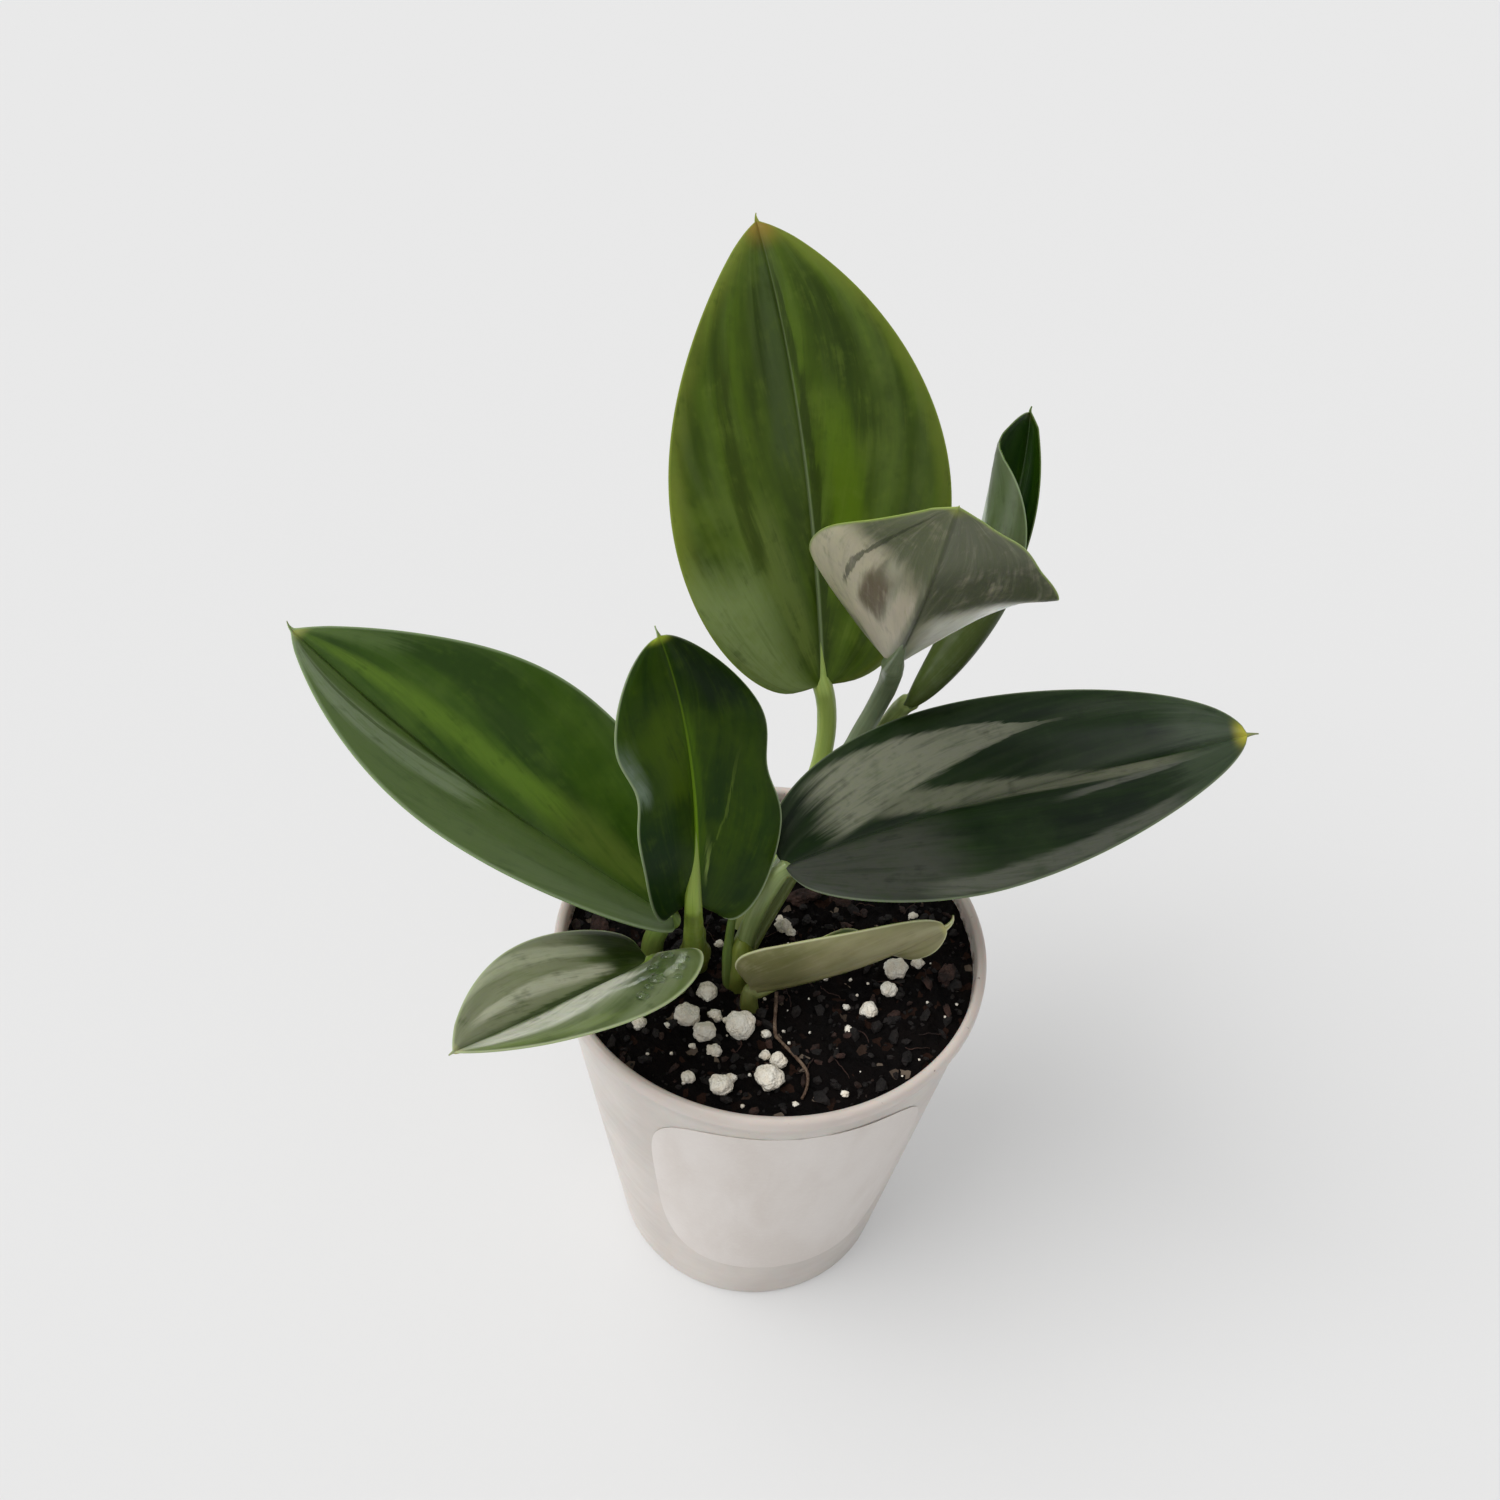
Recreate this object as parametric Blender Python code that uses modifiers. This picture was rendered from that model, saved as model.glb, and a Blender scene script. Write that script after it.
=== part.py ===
"""A small climbing plant, scindapsus, in a 60 mm tapered plastic pot: eight leaves on two short crowns."""

import math

import bmesh
import bpy
import numpy as np
from mathutils import Vector

MM = 0.001

# Pot, in millimetres: a thin tapered cup with a rolled lip.
POT_HEIGHT = 62.0
RIM_RADIUS = 30.0
RIM_INNER_RADIUS = 28.6
LIP_HEIGHT = 2.4
WALL_TOP_RADIUS = 29.3
BASE_RADIUS = 21.0
WALL = 0.8
FLOOR = 1.2
SOIL_TOP = 59.4
GAP = 0.3

# Blank sticker on the front of the pot.
LABEL_HEADING = -78.0
LABEL_MID_HEIGHT = 34.0
LABEL_HALF_WIDTH = 19.0
LABEL_HALF_HEIGHT = 22.5
LABEL_THICKNESS = 0.2

LEAF_THICKNESS = 0.5
PETIOLE_RADIUS = 1.15

# Blades. base: where the petiole meets the blade. heading, rise: direction of the midrib there, in
# degrees. bend: how far the midrib comes down by the tip. swing: how far it turns to the left.
# tilt, twist: roll about the midrib. left, right: widest half-widths. fold: how far each half is
# lifted at the base, and fold_change what is added by the tip. cup: extra curl toward the margin.
# widest: where the blade is widest, 0 to 1. taper: sharpness of the tip. lobe: depth of the lobes.
BACK_LEAF = {
    "base": (3.8, 20.2, 91.2), "heading": 110, "rise": 68, "bend": 20, "swing": 13,
    "tilt": 5, "twist": -12, "length": 60, "left": 20, "right": 19.5, "fold": (14, 13),
    "fold_change": (0, 0), "cup": -11, "widest": 0.42, "taper": 0.76, "lobe": 0.03, "waist": 0,
}
LEFT_LEAF = {
    "base": (-13.2, -6.4, 71.4), "heading": 166, "rise": 24, "bend": -4.5, "swing": -13,
    "tilt": 12, "twist": -11, "length": 62, "left": 17.5, "right": 20.5, "fold": (24, 20),
    "fold_change": (0, 0), "cup": 0, "widest": 0.41, "taper": 0.83, "lobe": 0.04, "waist": 0,
}
MIDDLE_LEAF = {
    "base": (-9.9, -12.0, 80.8), "heading": 90, "rise": 61, "bend": 13, "swing": 39.5,
    "tilt": 25, "twist": -3, "length": 34, "left": 11, "right": 13.8, "fold": (24, 15.5),
    "fold_change": (-36, -31), "cup": 2, "widest": 0.59, "taper": 0.54, "lobe": 0.18, "waist": 0.18,
}
RIGHT_LEAF = {
    "base": (0.9, -5.1, 81.9), "heading": 31.5, "rise": 5.5, "bend": -23, "swing": -33.5,
    "tilt": 6, "twist": 3.5, "length": 62, "left": 14.7, "right": 16.8, "fold": (11, 16.5),
    "fold_change": (1, -5), "cup": 2, "widest": 0.41, "taper": 0.56, "lobe": 0.0, "waist": 0,
}
FOLDED_LEAF = {
    "base": (11.9, 8.6, 105.0), "heading": -90, "rise": 49.5, "bend": -22.5, "swing": 10,
    "tilt": -3, "twist": -15, "length": 45.7, "left": 18, "right": 15, "fold": (38.5, 41.5),
    "fold_change": (-22, -15), "cup": -1, "widest": 0.32, "taper": 0.89, "lobe": 0.03, "waist": 0,
}
ROLLED_LEAF = {
    "base": (15.3, 15.9, 92.3), "heading": 49.5, "rise": 28, "bend": -9, "swing": 39.5,
    "tilt": 32, "twist": -23, "length": 46.5, "left": 12.2, "right": 9.6, "fold": (66, 56),
    "fold_change": (-34, 22), "cup": 26, "widest": 0.54, "taper": 0.57, "lobe": 0.0, "waist": 0,
}
LOWER_LEFT_LEAF = {
    "base": (-15.0, -14.7, 72.2), "heading": 231, "rise": 17.5, "bend": -3.5, "swing": 0,
    "tilt": 16.5, "twist": -8.5, "length": 31.7, "left": 14.4, "right": 10.5, "fold": (22, 17),
    "fold_change": (-5, -2), "cup": 1, "widest": 0.4, "taper": 0.8, "lobe": 0.19, "waist": 0,
}
LOWER_RIGHT_LEAF = {
    "base": (-1.5, -10.8, 63.8), "heading": 4.5, "rise": 17.5, "bend": -8, "swing": 20,
    "tilt": -4, "twist": -1, "length": 28.3, "left": 7.4, "right": 9.4, "fold": (56, 60),
    "fold_change": (1, 2), "cup": 38, "widest": 0.3, "taper": 0.71, "lobe": 0.08, "waist": 0,
}

# Petioles: four control points each, the first at the crown and the last at the blade.
PETIOLES = {
    "back_petiole": ((-3.6, 3.6, 61.2), (1.4, 10.2, 67.4), (7.8, 20.6, 77.4), (4.0, 19.9, 90.4)),
    "left_petiole": ((-16.2, -3.2, 60.3), (-16.2, -3.6, 64.0), (-14.9, -4.4, 68.0), (-12.9, -6.2, 70.3)),
    "middle_petiole": ((-10.3, -5.2, 67.9), (-10.2, -7.4, 72.0), (-10.0, -10.6, 76.0), (-9.9, -12.2, 79.9)),
    "right_petiole": ((-3.6, -7.0, 69.2), (-3.1, -6.9, 73.4), (-1.7, -6.3, 77.9), (0.2, -5.5, 81.3)),
    "folded_petiole": ((-4.6, -3.6, 60.3), (0.0, 3.4, 72.0), (13.4, 29.4, 83.6), (11.8, 9.1, 104.5)),
    "rolled_petiole": ((-1.8, -0.1, 61.0), (2.8, 6.4, 68.0), (13.0, 23.0, 84.2), (14.9, 16.9, 91.8)),
    "lower_left_petiole": ((-12.6, -10.0, 60.3), (-12.8, -10.4, 66.0), (-13.2, -12.4, 70.0), (-14.7, -14.2, 71.6)),
    "lower_right_petiole": ((-2.3, -10.9, 60.3), (-2.4, -10.9, 61.3), (-2.4, -10.9, 62.4), (-2.2, -10.9, 63.1)),
}

# Crown stubs: foot, height and radius.
LEFT_STEM = ((-10.2, -4.6, 59.9), 7.4, 1.7)
RIGHT_STEM = ((-3.7, -7.2, 59.9), 8.6, 1.6)

# Perlite grains on the soil: position and radius.
PERLITE = (
    (-7.9, -9.0, 1.4), (-10.2, -13.2, 1.7), (-7.7, -15.6, 1.5), (-3.0, -14.6, 2.0),
    (1.5, -22.0, 1.8), (-4.7, -23.9, 1.5), (2.4, -19.0, 1.1), (17.4, -2.6, 1.6),
    (16.6, -6.2, 1.1), (14.0, -9.5, 1.2), (-6.1, -18.2, 1.0), (-16.3, -15.0, 1.0),
    (1.6, 3.6, 1.2), (-9.0, -22.4, 0.9),
)

# Bark chips: position, length, width, height and turn.
BARK = (
    (3.8, 9.3, 4.2, 2.4, 1.2, 20), (9.2, 10.4, 3.6, 2.0, 1.0, -35),
    (24.6, -2.2, 3.4, 1.9, 1.1, 75), (-24.2, 1.0, 3.6, 2.0, 1.1, 100),
)

ROOT = ((1.4, -7.8), (1.5, -11.0), (1.7, -14.6), (2.9, -16.2), (5.9, -19.6), (6.4, -22.0), (5.8, -24.2))
ROOT_RADIUS = 0.3


def clear_scene():
    for obj in list(bpy.data.objects):
        bpy.data.objects.remove(obj, do_unlink=True)


def new_collection(name):
    collection = bpy.data.collections.new(name)
    bpy.context.scene.collection.children.link(collection)
    return collection


def new_material(name, colour, roughness, specular=0.5):
    material = bpy.data.materials.new(name)
    material.use_nodes = True
    shader = material.node_tree.nodes["Principled BSDF"]
    shader.inputs["Base Color"].default_value = (*colour, 1.0)
    shader.inputs["Roughness"].default_value = roughness
    shader.inputs["Specular IOR Level"].default_value = specular
    material.diffuse_color = (*colour, 1.0)
    return material


def new_object(name, data, material):
    obj = bpy.data.objects.new(name, data)
    plant.objects.link(obj)
    data.materials.append(material)
    return obj


def new_mesh(name, points, faces):
    mesh = bpy.data.meshes.new(name)
    mesh.from_pydata([tuple(np.asarray(p, float) * MM) for p in points], [], faces)
    mesh.validate()
    mesh.update()
    return mesh


def shade(obj, angle=40):
    obj.data.shade_smooth()
    obj.data.set_sharp_from_angle(angle=math.radians(angle))


def turn_profile(name, profile, material, steps=64):
    """A closed body from a profile in the XZ plane, its outer side running from top to bottom."""
    mesh = new_mesh(name, [(x, 0.0, z) for x, z in profile], [])
    mesh.edges.add(len(profile) - 1)
    for i, edge in enumerate(mesh.edges):
        edge.vertices = (i, i + 1)
    obj = new_object(name, mesh, material)
    screw = obj.modifiers.new("turn", "SCREW")
    screw.steps = steps
    screw.render_steps = steps
    screw.use_merge_vertices = True
    screw.merge_threshold = 0.00001
    screw.use_smooth_shade = True
    return obj


def wall_radius(height):
    """Outer radius of the tapered wall at a height."""
    return BASE_RADIUS + (WALL_TOP_RADIUS - BASE_RADIUS) * height / (POT_HEIGHT - LIP_HEIGHT)


def make_pot():
    lip = POT_HEIGHT - LIP_HEIGHT
    profile = [
        (0.0, FLOOR),
        (wall_radius(FLOOR) - WALL, FLOOR),
        (RIM_INNER_RADIUS, POT_HEIGHT - 0.5),
        (RIM_INNER_RADIUS + 0.4, POT_HEIGHT),
        (RIM_RADIUS - 0.5, POT_HEIGHT),
        (RIM_RADIUS, POT_HEIGHT - 0.6),
        (RIM_RADIUS, lip + 0.5),
        (RIM_RADIUS - 0.4, lip),
        (WALL_TOP_RADIUS, lip),
        (BASE_RADIUS + 0.1, 0.7),
        (BASE_RADIUS - 0.5, 0.0),
        (0.0, 0.0),
    ]
    return turn_profile("pot", profile, new_material("pot_plastic", (0.72, 0.70, 0.67), 0.35))


def make_label():
    """Sticker with large round corners, wrapped on the taper just clear of the wall."""
    rings, sides, power = 4, 44, 0.52
    slope = (WALL_TOP_RADIUS - BASE_RADIUS) / (POT_HEIGHT - LIP_HEIGHT)
    points = []
    faces = []
    for layer in (GAP, GAP + LABEL_THICKNESS):
        for ring in range(rings + 1):
            for side in range(sides if ring else 1):
                turn = 2 * math.pi * side / sides
                c, s = math.cos(turn), math.sin(turn)
                across = math.copysign(abs(c) ** power, c) * LABEL_HALF_WIDTH * ring / rings
                height = LABEL_MID_HEIGHT + math.copysign(abs(s) ** power, s) * LABEL_HALF_HEIGHT * ring / rings
                radius = wall_radius(height) + layer
                angle = math.radians(LABEL_HEADING) + across / wall_radius(LABEL_MID_HEIGHT)
                points.append((radius * math.cos(angle), radius * math.sin(angle), height - slope * layer))
    count = 1 + rings * sides
    for side in range(sides):
        after = (side + 1) % sides
        faces.append((0, 1 + after, 1 + side))
        faces.append((count, count + 1 + side, count + 1 + after))
        for ring in range(rings - 1):
            a, b = 1 + ring * sides + side, 1 + ring * sides + after
            faces.append((a, b, b + sides, a + sides))
            faces.append((count + a, count + a + sides, count + b + sides, count + b))
        a, b = 1 + (rings - 1) * sides + side, 1 + (rings - 1) * sides + after
        faces.append((a, b, count + b, count + a))
    obj = new_object("label", new_mesh("label", points, faces), new_material("label_paper", (0.70, 0.62, 0.56), 0.6))
    shade(obj)
    return obj


def soil_bump(x, y):
    return 0.22 * math.sin(0.9 * x + 0.4) * math.cos(0.8 * y) + 0.12 * math.sin(1.7 * x + 1.3 * y)


def make_soil():
    """Potting mix filling the cup to just under the lip, with a slightly uneven top."""
    sides, rings = 40, 6
    top_radius = wall_radius(SOIL_TOP) - WALL - GAP
    low_radius = wall_radius(FLOOR + GAP) - WALL - GAP
    points = [(0.0, 0.0, SOIL_TOP)]
    faces = []
    for ring in range(1, rings + 1):
        radius = top_radius * ring / rings
        for side in range(sides):
            turn = 2 * math.pi * side / sides
            x, y = radius * math.cos(turn), radius * math.sin(turn)
            bump = soil_bump(x, y) if ring < rings else 0.0
            points.append((x, y, SOIL_TOP + bump - 0.25))
    for side in range(sides):
        turn = 2 * math.pi * side / sides
        points.append((low_radius * math.cos(turn), low_radius * math.sin(turn), FLOOR + GAP))
    points.append((0.0, 0.0, FLOOR + GAP))
    last = len(points) - 1
    for side in range(sides):
        after = (side + 1) % sides
        faces.append((0, 1 + side, 1 + after))
        for ring in range(rings):
            a, b = 1 + ring * sides + side, 1 + ring * sides + after
            faces.append((a, a + sides, b + sides, b))
        faces.append((1 + rings * sides + after, 1 + rings * sides + side, last))
    obj = new_object("soil", new_mesh("soil", points, faces), new_material("soil", (0.012, 0.009, 0.008), 0.95))
    shade(obj)
    return obj


def width_at(spec, s):
    """Half-width of a blade along its midrib, as a fraction of the widest."""
    widest = spec["widest"]
    if s < widest:
        width = math.sqrt(max(0.0, 1 - (1 - s / widest) ** 2))
    else:
        width = math.cos(math.pi / 2 * (s - widest) / (1 - widest)) ** spec["taper"]
    return width * (1 - spec["waist"] * math.exp(-(((s - 0.46) / 0.12) ** 2)))


def midrib_frames(spec, stations):
    """Position, forward, left and up along the midrib."""
    frames = []
    position = Vector(spec["base"])
    before = None
    last = 0.0
    for s in stations:
        rise = math.radians(spec["rise"] - spec["bend"] * s ** 1.5)
        heading = math.radians(spec["heading"] + spec["swing"] * s)
        forward = Vector((math.cos(rise) * math.cos(heading), math.cos(rise) * math.sin(heading), math.sin(rise)))
        if before is not None:
            position = position + (forward + before) * (0.5 * spec["length"] * (s - last))
        level = Vector((-math.sin(heading), math.cos(heading), 0.0))
        above = forward.cross(level).normalized()
        roll = math.radians(spec["tilt"] + spec["twist"] * s)
        left = level * math.cos(roll) + above * math.sin(roll)
        up = above * math.cos(roll) - level * math.sin(roll)
        frames.append((position.copy(), forward, left, up))
        before, last = forward, s
    return frames


def blade_grid(spec, stations, across):
    """Middle surface of a blade: one row of points for each station, from the left margin to the right."""
    rows = []
    for s, (position, forward, left, up) in zip(stations, midrib_frames(spec, stations)):
        row = []
        half = 0.5 * min(1.0, s / 0.5)
        lobe = spec["lobe"] * spec["length"] * math.sin(2 * math.pi * half) * (1 - 2 * half)
        for k in range(-across, across + 1):
            side = 0 if k < 0 else 1
            v = abs(k) / across
            width = spec["left" if k < 0 else "right"] * width_at(spec, s)
            lift = math.radians(spec["fold"][side] + spec["fold_change"][side] * s)
            curl = math.radians(spec["cup"])
            x = z = 0.0
            for j in range(8):
                angle = lift + curl * v * (j + 0.5) / 8
                x += math.cos(angle) * v / 8
                z += math.sin(angle) * v / 8
            sign = 1 if k < 0 else -1
            row.append(position + left * (sign * width * x) + up * (width * z) - forward * (lobe * v ** 1.5))
        rows.append(row)
    return rows


def make_blade(name, spec, material, across=4, along=16):
    stations = [0.012] + [(i + 0.35) / along for i in range(1, along)] + [0.994]
    rows = blade_grid(spec, stations, across)
    wide = 2 * across + 1
    points = [p for row in rows for p in row]
    faces = []
    for i in range(len(rows) - 1):
        for j in range(wide - 1):
            a = i * wide + j
            faces.append((a, a + 1, a + wide + 1, a + wide))
    obj = new_object(name, new_mesh(name, points, faces), material)
    solid = obj.modifiers.new("thickness", "SOLIDIFY")
    solid.thickness = LEAF_THICKNESS * MM
    solid.offset = 0.0
    solid.use_even_offset = False
    obj.data.shade_smooth()
    return obj


def make_tube(name, controls, radii, material, steps=8):
    """A stalk along a smooth curve through four control points, thinner toward the blade."""
    curve = bpy.data.curves.new(name, "CURVE")
    curve.dimensions = "3D"
    curve.bevel_depth = MM
    curve.bevel_resolution = 2
    curve.use_fill_caps = True
    spline = curve.splines.new("POLY")
    spline.points.add(steps)
    a, b, c, d = (Vector(p) for p in controls)
    for i in range(steps + 1):
        t = i / steps
        point = a * (1 - t) ** 3 + b * (3 * t * (1 - t) ** 2) + c * (3 * t * t * (1 - t)) + d * t ** 3
        spline.points[i].co = (*(point * MM), 1.0)
        spline.points[i].radius = radii[0] + (radii[1] - radii[0]) * t
    spline.use_smooth = True
    return new_object(name, curve, material)


def make_stem(name, stem, material):
    (x, y, z), height, radius = stem
    profile = [
        (0.0, height),
        (radius * 0.7, height),
        (radius * 0.95, height - 0.5),
        (radius * 1.12, height * 0.6),
        (radius, height * 0.25),
        (radius * 1.05, 0.0),
        (0.0, 0.0),
    ]
    obj = turn_profile(name, profile, material, steps=16)
    obj.location = Vector((x, y, z)) * MM
    return obj


def make_grain(name, x, y, radius, seed, material):
    """A lumpy perlite grain resting on the soil."""
    grain = bmesh.new()
    bmesh.ops.create_icosphere(grain, subdivisions=2, radius=radius * MM)
    for i, vert in enumerate(grain.verts):
        vert.co *= 0.93 + 0.12 * math.sin(2.3 * i + 1.7 * seed)
        vert.co.z *= 0.85
    low = min(vert.co.z for vert in grain.verts)
    mesh = bpy.data.meshes.new(name)
    grain.to_mesh(mesh)
    grain.free()
    obj = new_object(name, mesh, material)
    obj.location = (x * MM, y * MM, (SOIL_TOP + GAP + soil_bump(x, y) - 0.1) * MM - low)
    mesh.shade_smooth()
    return obj


def make_chip(name, spec, material):
    x, y, length, width, height, turn = spec
    chip = bmesh.new()
    bmesh.ops.create_cube(chip, size=MM)
    for i, vert in enumerate(chip.verts):
        vert.co.x *= length * (1 + 0.12 * math.sin(3.1 * i))
        vert.co.y *= width * (1 + 0.15 * math.cos(2.1 * i))
        vert.co.z *= height
    mesh = bpy.data.meshes.new(name)
    chip.to_mesh(mesh)
    chip.free()
    obj = new_object(name, mesh, material)
    obj.location = (x * MM, y * MM, (SOIL_TOP + GAP + 0.2 + height / 2) * MM)
    obj.rotation_euler = (0, 0, math.radians(turn))
    return obj


def make_root(material):
    """A thin root lying on the soil."""
    curve = bpy.data.curves.new("root", "CURVE")
    curve.dimensions = "3D"
    curve.bevel_depth = ROOT_RADIUS * MM
    curve.bevel_resolution = 1
    curve.use_fill_caps = True
    spline = curve.splines.new("POLY")
    spline.points.add(len(ROOT) - 1)
    for i, (x, y) in enumerate(ROOT):
        spline.points[i].co = (x * MM, y * MM, (SOIL_TOP + GAP + ROOT_RADIUS + 0.15) * MM, 1.0)
    spline.use_smooth = True
    return new_object("root", curve, material)


def make_leaves():
    leaves = (
        ("back_leaf", BACK_LEAF, (0.075, 0.13, 0.018)),
        ("left_leaf", LEFT_LEAF, (0.06, 0.11, 0.02)),
        ("middle_leaf", MIDDLE_LEAF, (0.03, 0.055, 0.012)),
        ("right_leaf", RIGHT_LEAF, (0.025, 0.045, 0.018)),
        ("folded_leaf", FOLDED_LEAF, (0.2, 0.19, 0.14)),
        ("rolled_leaf", ROLLED_LEAF, (0.03, 0.05, 0.012)),
        ("lower_left_leaf", LOWER_LEFT_LEAF, (0.11, 0.15, 0.05)),
        ("lower_right_leaf", LOWER_RIGHT_LEAF, (0.2, 0.19, 0.09)),
    )
    for name, spec, colour in leaves:
        make_blade(name, spec, new_material(name, colour, 0.38))


def make_stalks():
    for name, controls in PETIOLES.items():
        radii = (PETIOLE_RADIUS * 1.15, PETIOLE_RADIUS * 0.85)
        make_tube(name, controls, radii, new_material(name, (0.16, 0.2, 0.05), 0.45))
    make_stem("left_stem", LEFT_STEM, new_material("left_stem", (0.18, 0.22, 0.05), 0.5))
    make_stem("right_stem", RIGHT_STEM, new_material("right_stem", (0.17, 0.2, 0.06), 0.5))


def make_ground():
    for i, (x, y, radius) in enumerate(PERLITE):
        name = f"perlite_{i + 1:02d}"
        make_grain(name, x, y, radius, i, new_material(name, (0.75, 0.72, 0.66), 0.9))
    for i, spec in enumerate(BARK):
        name = f"bark_{i + 1:02d}"
        make_chip(name, spec, new_material(name, (0.08, 0.045, 0.03), 0.9))
    make_root(new_material("root", (0.2, 0.15, 0.11), 0.8))


clear_scene()
plant = new_collection("potted_scindapsus")
make_pot()
make_label()
make_soil()
make_stalks()
make_leaves()
make_ground()
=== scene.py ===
# Young scindapsus in a tapered plastic cup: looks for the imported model
import math
import random

import bmesh
import bpy
import numpy as np
from mathutils import Matrix, Vector, noise


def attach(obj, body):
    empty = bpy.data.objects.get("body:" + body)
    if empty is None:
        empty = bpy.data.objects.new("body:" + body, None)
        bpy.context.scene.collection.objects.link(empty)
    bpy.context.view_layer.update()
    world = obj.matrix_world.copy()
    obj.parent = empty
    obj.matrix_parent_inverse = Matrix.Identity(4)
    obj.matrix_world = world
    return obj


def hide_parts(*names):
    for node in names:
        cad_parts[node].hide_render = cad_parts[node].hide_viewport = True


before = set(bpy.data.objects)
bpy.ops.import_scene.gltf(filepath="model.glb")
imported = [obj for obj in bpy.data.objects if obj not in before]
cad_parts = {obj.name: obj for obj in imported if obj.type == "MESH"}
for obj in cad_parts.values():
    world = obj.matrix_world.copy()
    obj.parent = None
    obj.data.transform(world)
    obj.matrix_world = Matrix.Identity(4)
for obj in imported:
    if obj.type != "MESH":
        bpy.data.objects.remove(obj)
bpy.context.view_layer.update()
mm = 0.001
up = Vector((0.0, 0.0, 1.0))


def tint(red, green, blue, alpha=1.0):
    # display colour, 0 to 1, as the linear colour that shaders take
    def toLinear(c):
        return c / 12.92 if c <= 0.04045 else ((c + 0.055) / 1.055) ** 2.4
    return (toLinear(red), toLinear(green), toLinear(blue), alpha)


def put(tree, kind, inputs=None, **props):
    node = tree.nodes.new("ShaderNode" + kind)
    for name, value in props.items():
        setattr(node, name, value)
    for name, value in (inputs or {}).items():
        socket = node.inputs[name]
        if isinstance(value, bpy.types.NodeSocket):
            tree.links.new(value, socket)
        else:
            socket.default_value = value
    return node


def calc(tree, operation, first, second=0.0, clamp=False):
    return put(tree, "Math", {0: first, 1: second}, operation=operation, use_clamp=clamp).outputs[0]


def plus(tree, first, second):
    return calc(tree, "ADD", first, second)


def minus(tree, first, second):
    return calc(tree, "SUBTRACT", first, second)


def times(tree, first, second, clamp=False):
    return calc(tree, "MULTIPLY", first, second, clamp)


def mixColour(tree, factor, first, second):
    return put(tree, "Mix", {0: factor, 6: first, 7: second}, data_type="RGBA").outputs[2]


def step(tree, value, low, high, fromValue=0.0, toValue=1.0):
    ranges = {"Value": value, "From Min": low, "From Max": high, "To Min": fromValue, "To Max": toValue}
    return put(tree, "MapRange", ranges, interpolation_type="SMOOTHSTEP").outputs[0]


def noiseAt(tree, vector, scale, detail=3.0, roughness=0.5, distortion=0.0):
    return put(tree, "TexNoise", {"Vector": vector, "Scale": scale, "Detail": detail,
                                      "Roughness": roughness, "Distortion": distortion}).outputs["Fac"]


def bodyPlace(tree):
    return put(tree, "TexCoord").outputs["Object"]


def mapAxes(tree, name):
    # the two numbers of a UV map
    return put(tree, "SeparateXYZ", {0: put(tree, "UVMap", uv_map=name).outputs[0]}).outputs[:2]


def vectorOf(tree, x, y, z=0.0):
    return put(tree, "CombineXYZ", {0: x, 1: y, 2: z}).outputs[0]


def stretched(tree, vector, scale):
    return put(tree, "Mapping", {"Vector": vector, "Scale": scale}).outputs[0]


def newGroup(name, colours, floats, outputs):
    # colours: names of the colour inputs. floats: the other inputs and their defaults
    group = bpy.data.node_groups.new(name, "ShaderNodeTree")
    add = group.interface.new_socket
    for key in colours:
        add(name=key, in_out="INPUT", socket_type="NodeSocketColor")
    for key, value in floats.items():
        add(name=key, in_out="INPUT", socket_type="NodeSocketFloat").default_value = value
    for key in outputs:
        add(name=key, in_out="OUTPUT", socket_type="NodeSocketColor" if key == "Color" else "NodeSocketFloat")
    return group, group.nodes.new("NodeGroupInput").outputs, group.nodes.new("NodeGroupOutput")


def newMaterial(name, sockets=None):
    material = bpy.data.materials.new(name)
    material.use_nodes = True
    shader = material.node_tree.nodes["Principled BSDF"]
    for key, value in (sockets or {}).items():
        shader.inputs[key].default_value = value
    return material, material.node_tree, shader


def giveOut(tree, result, values):
    for key, value in values.items():
        tree.links.new(value, result.inputs[key])


def wireSkin(tree, shader, colour, rough, height, strength, distance):
    bump = put(tree, "Bump", {"Height": height, "Strength": strength, "Distance": distance})
    giveOut(tree, shader, {"Base Color": colour, "Roughness": rough, "Normal": bump.outputs[0]})


def pieceOf(name, mesh, materials, smooth):
    piece = bpy.data.objects.new(name, mesh)
    bpy.context.scene.collection.objects.link(piece)
    for material in materials:
        mesh.materials.append(material)
    mesh.shade_smooth()
    if smooth:
        mesh.set_sharp_from_angle(angle=math.radians(smooth))
    return piece


def newPiece(name, points, faces, materials, faceMaterial=None, smooth=60):
    mesh = bpy.data.meshes.new(name)
    mesh.from_pydata([tuple(p) for p in points], [], faces)
    if faceMaterial is not None:
        mesh.polygons.foreach_set("material_index", faceMaterial)
    return pieceOf(name, mesh, materials, smooth)


def pieceFromBmesh(name, builder, materials, smooth=None):
    mesh = bpy.data.meshes.new(name)
    builder.to_mesh(mesh)
    builder.free()
    return pieceOf(name, mesh, materials, smooth)


def addMap(piece, name, values):
    # one pair of numbers for each vertex, kept as a UV map
    mesh = piece.data
    corners = np.empty(len(mesh.loops), np.int32)
    mesh.loops.foreach_get("vertex_index", corners)
    layer = mesh.uv_layers.new(name=name)
    layer.data.foreach_set("uv", np.asarray(values, np.float32)[corners].ravel())


def seat(piece, slot, *nodes):
    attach(piece, "root")
    if nodes:
        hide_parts(*nodes)


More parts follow.
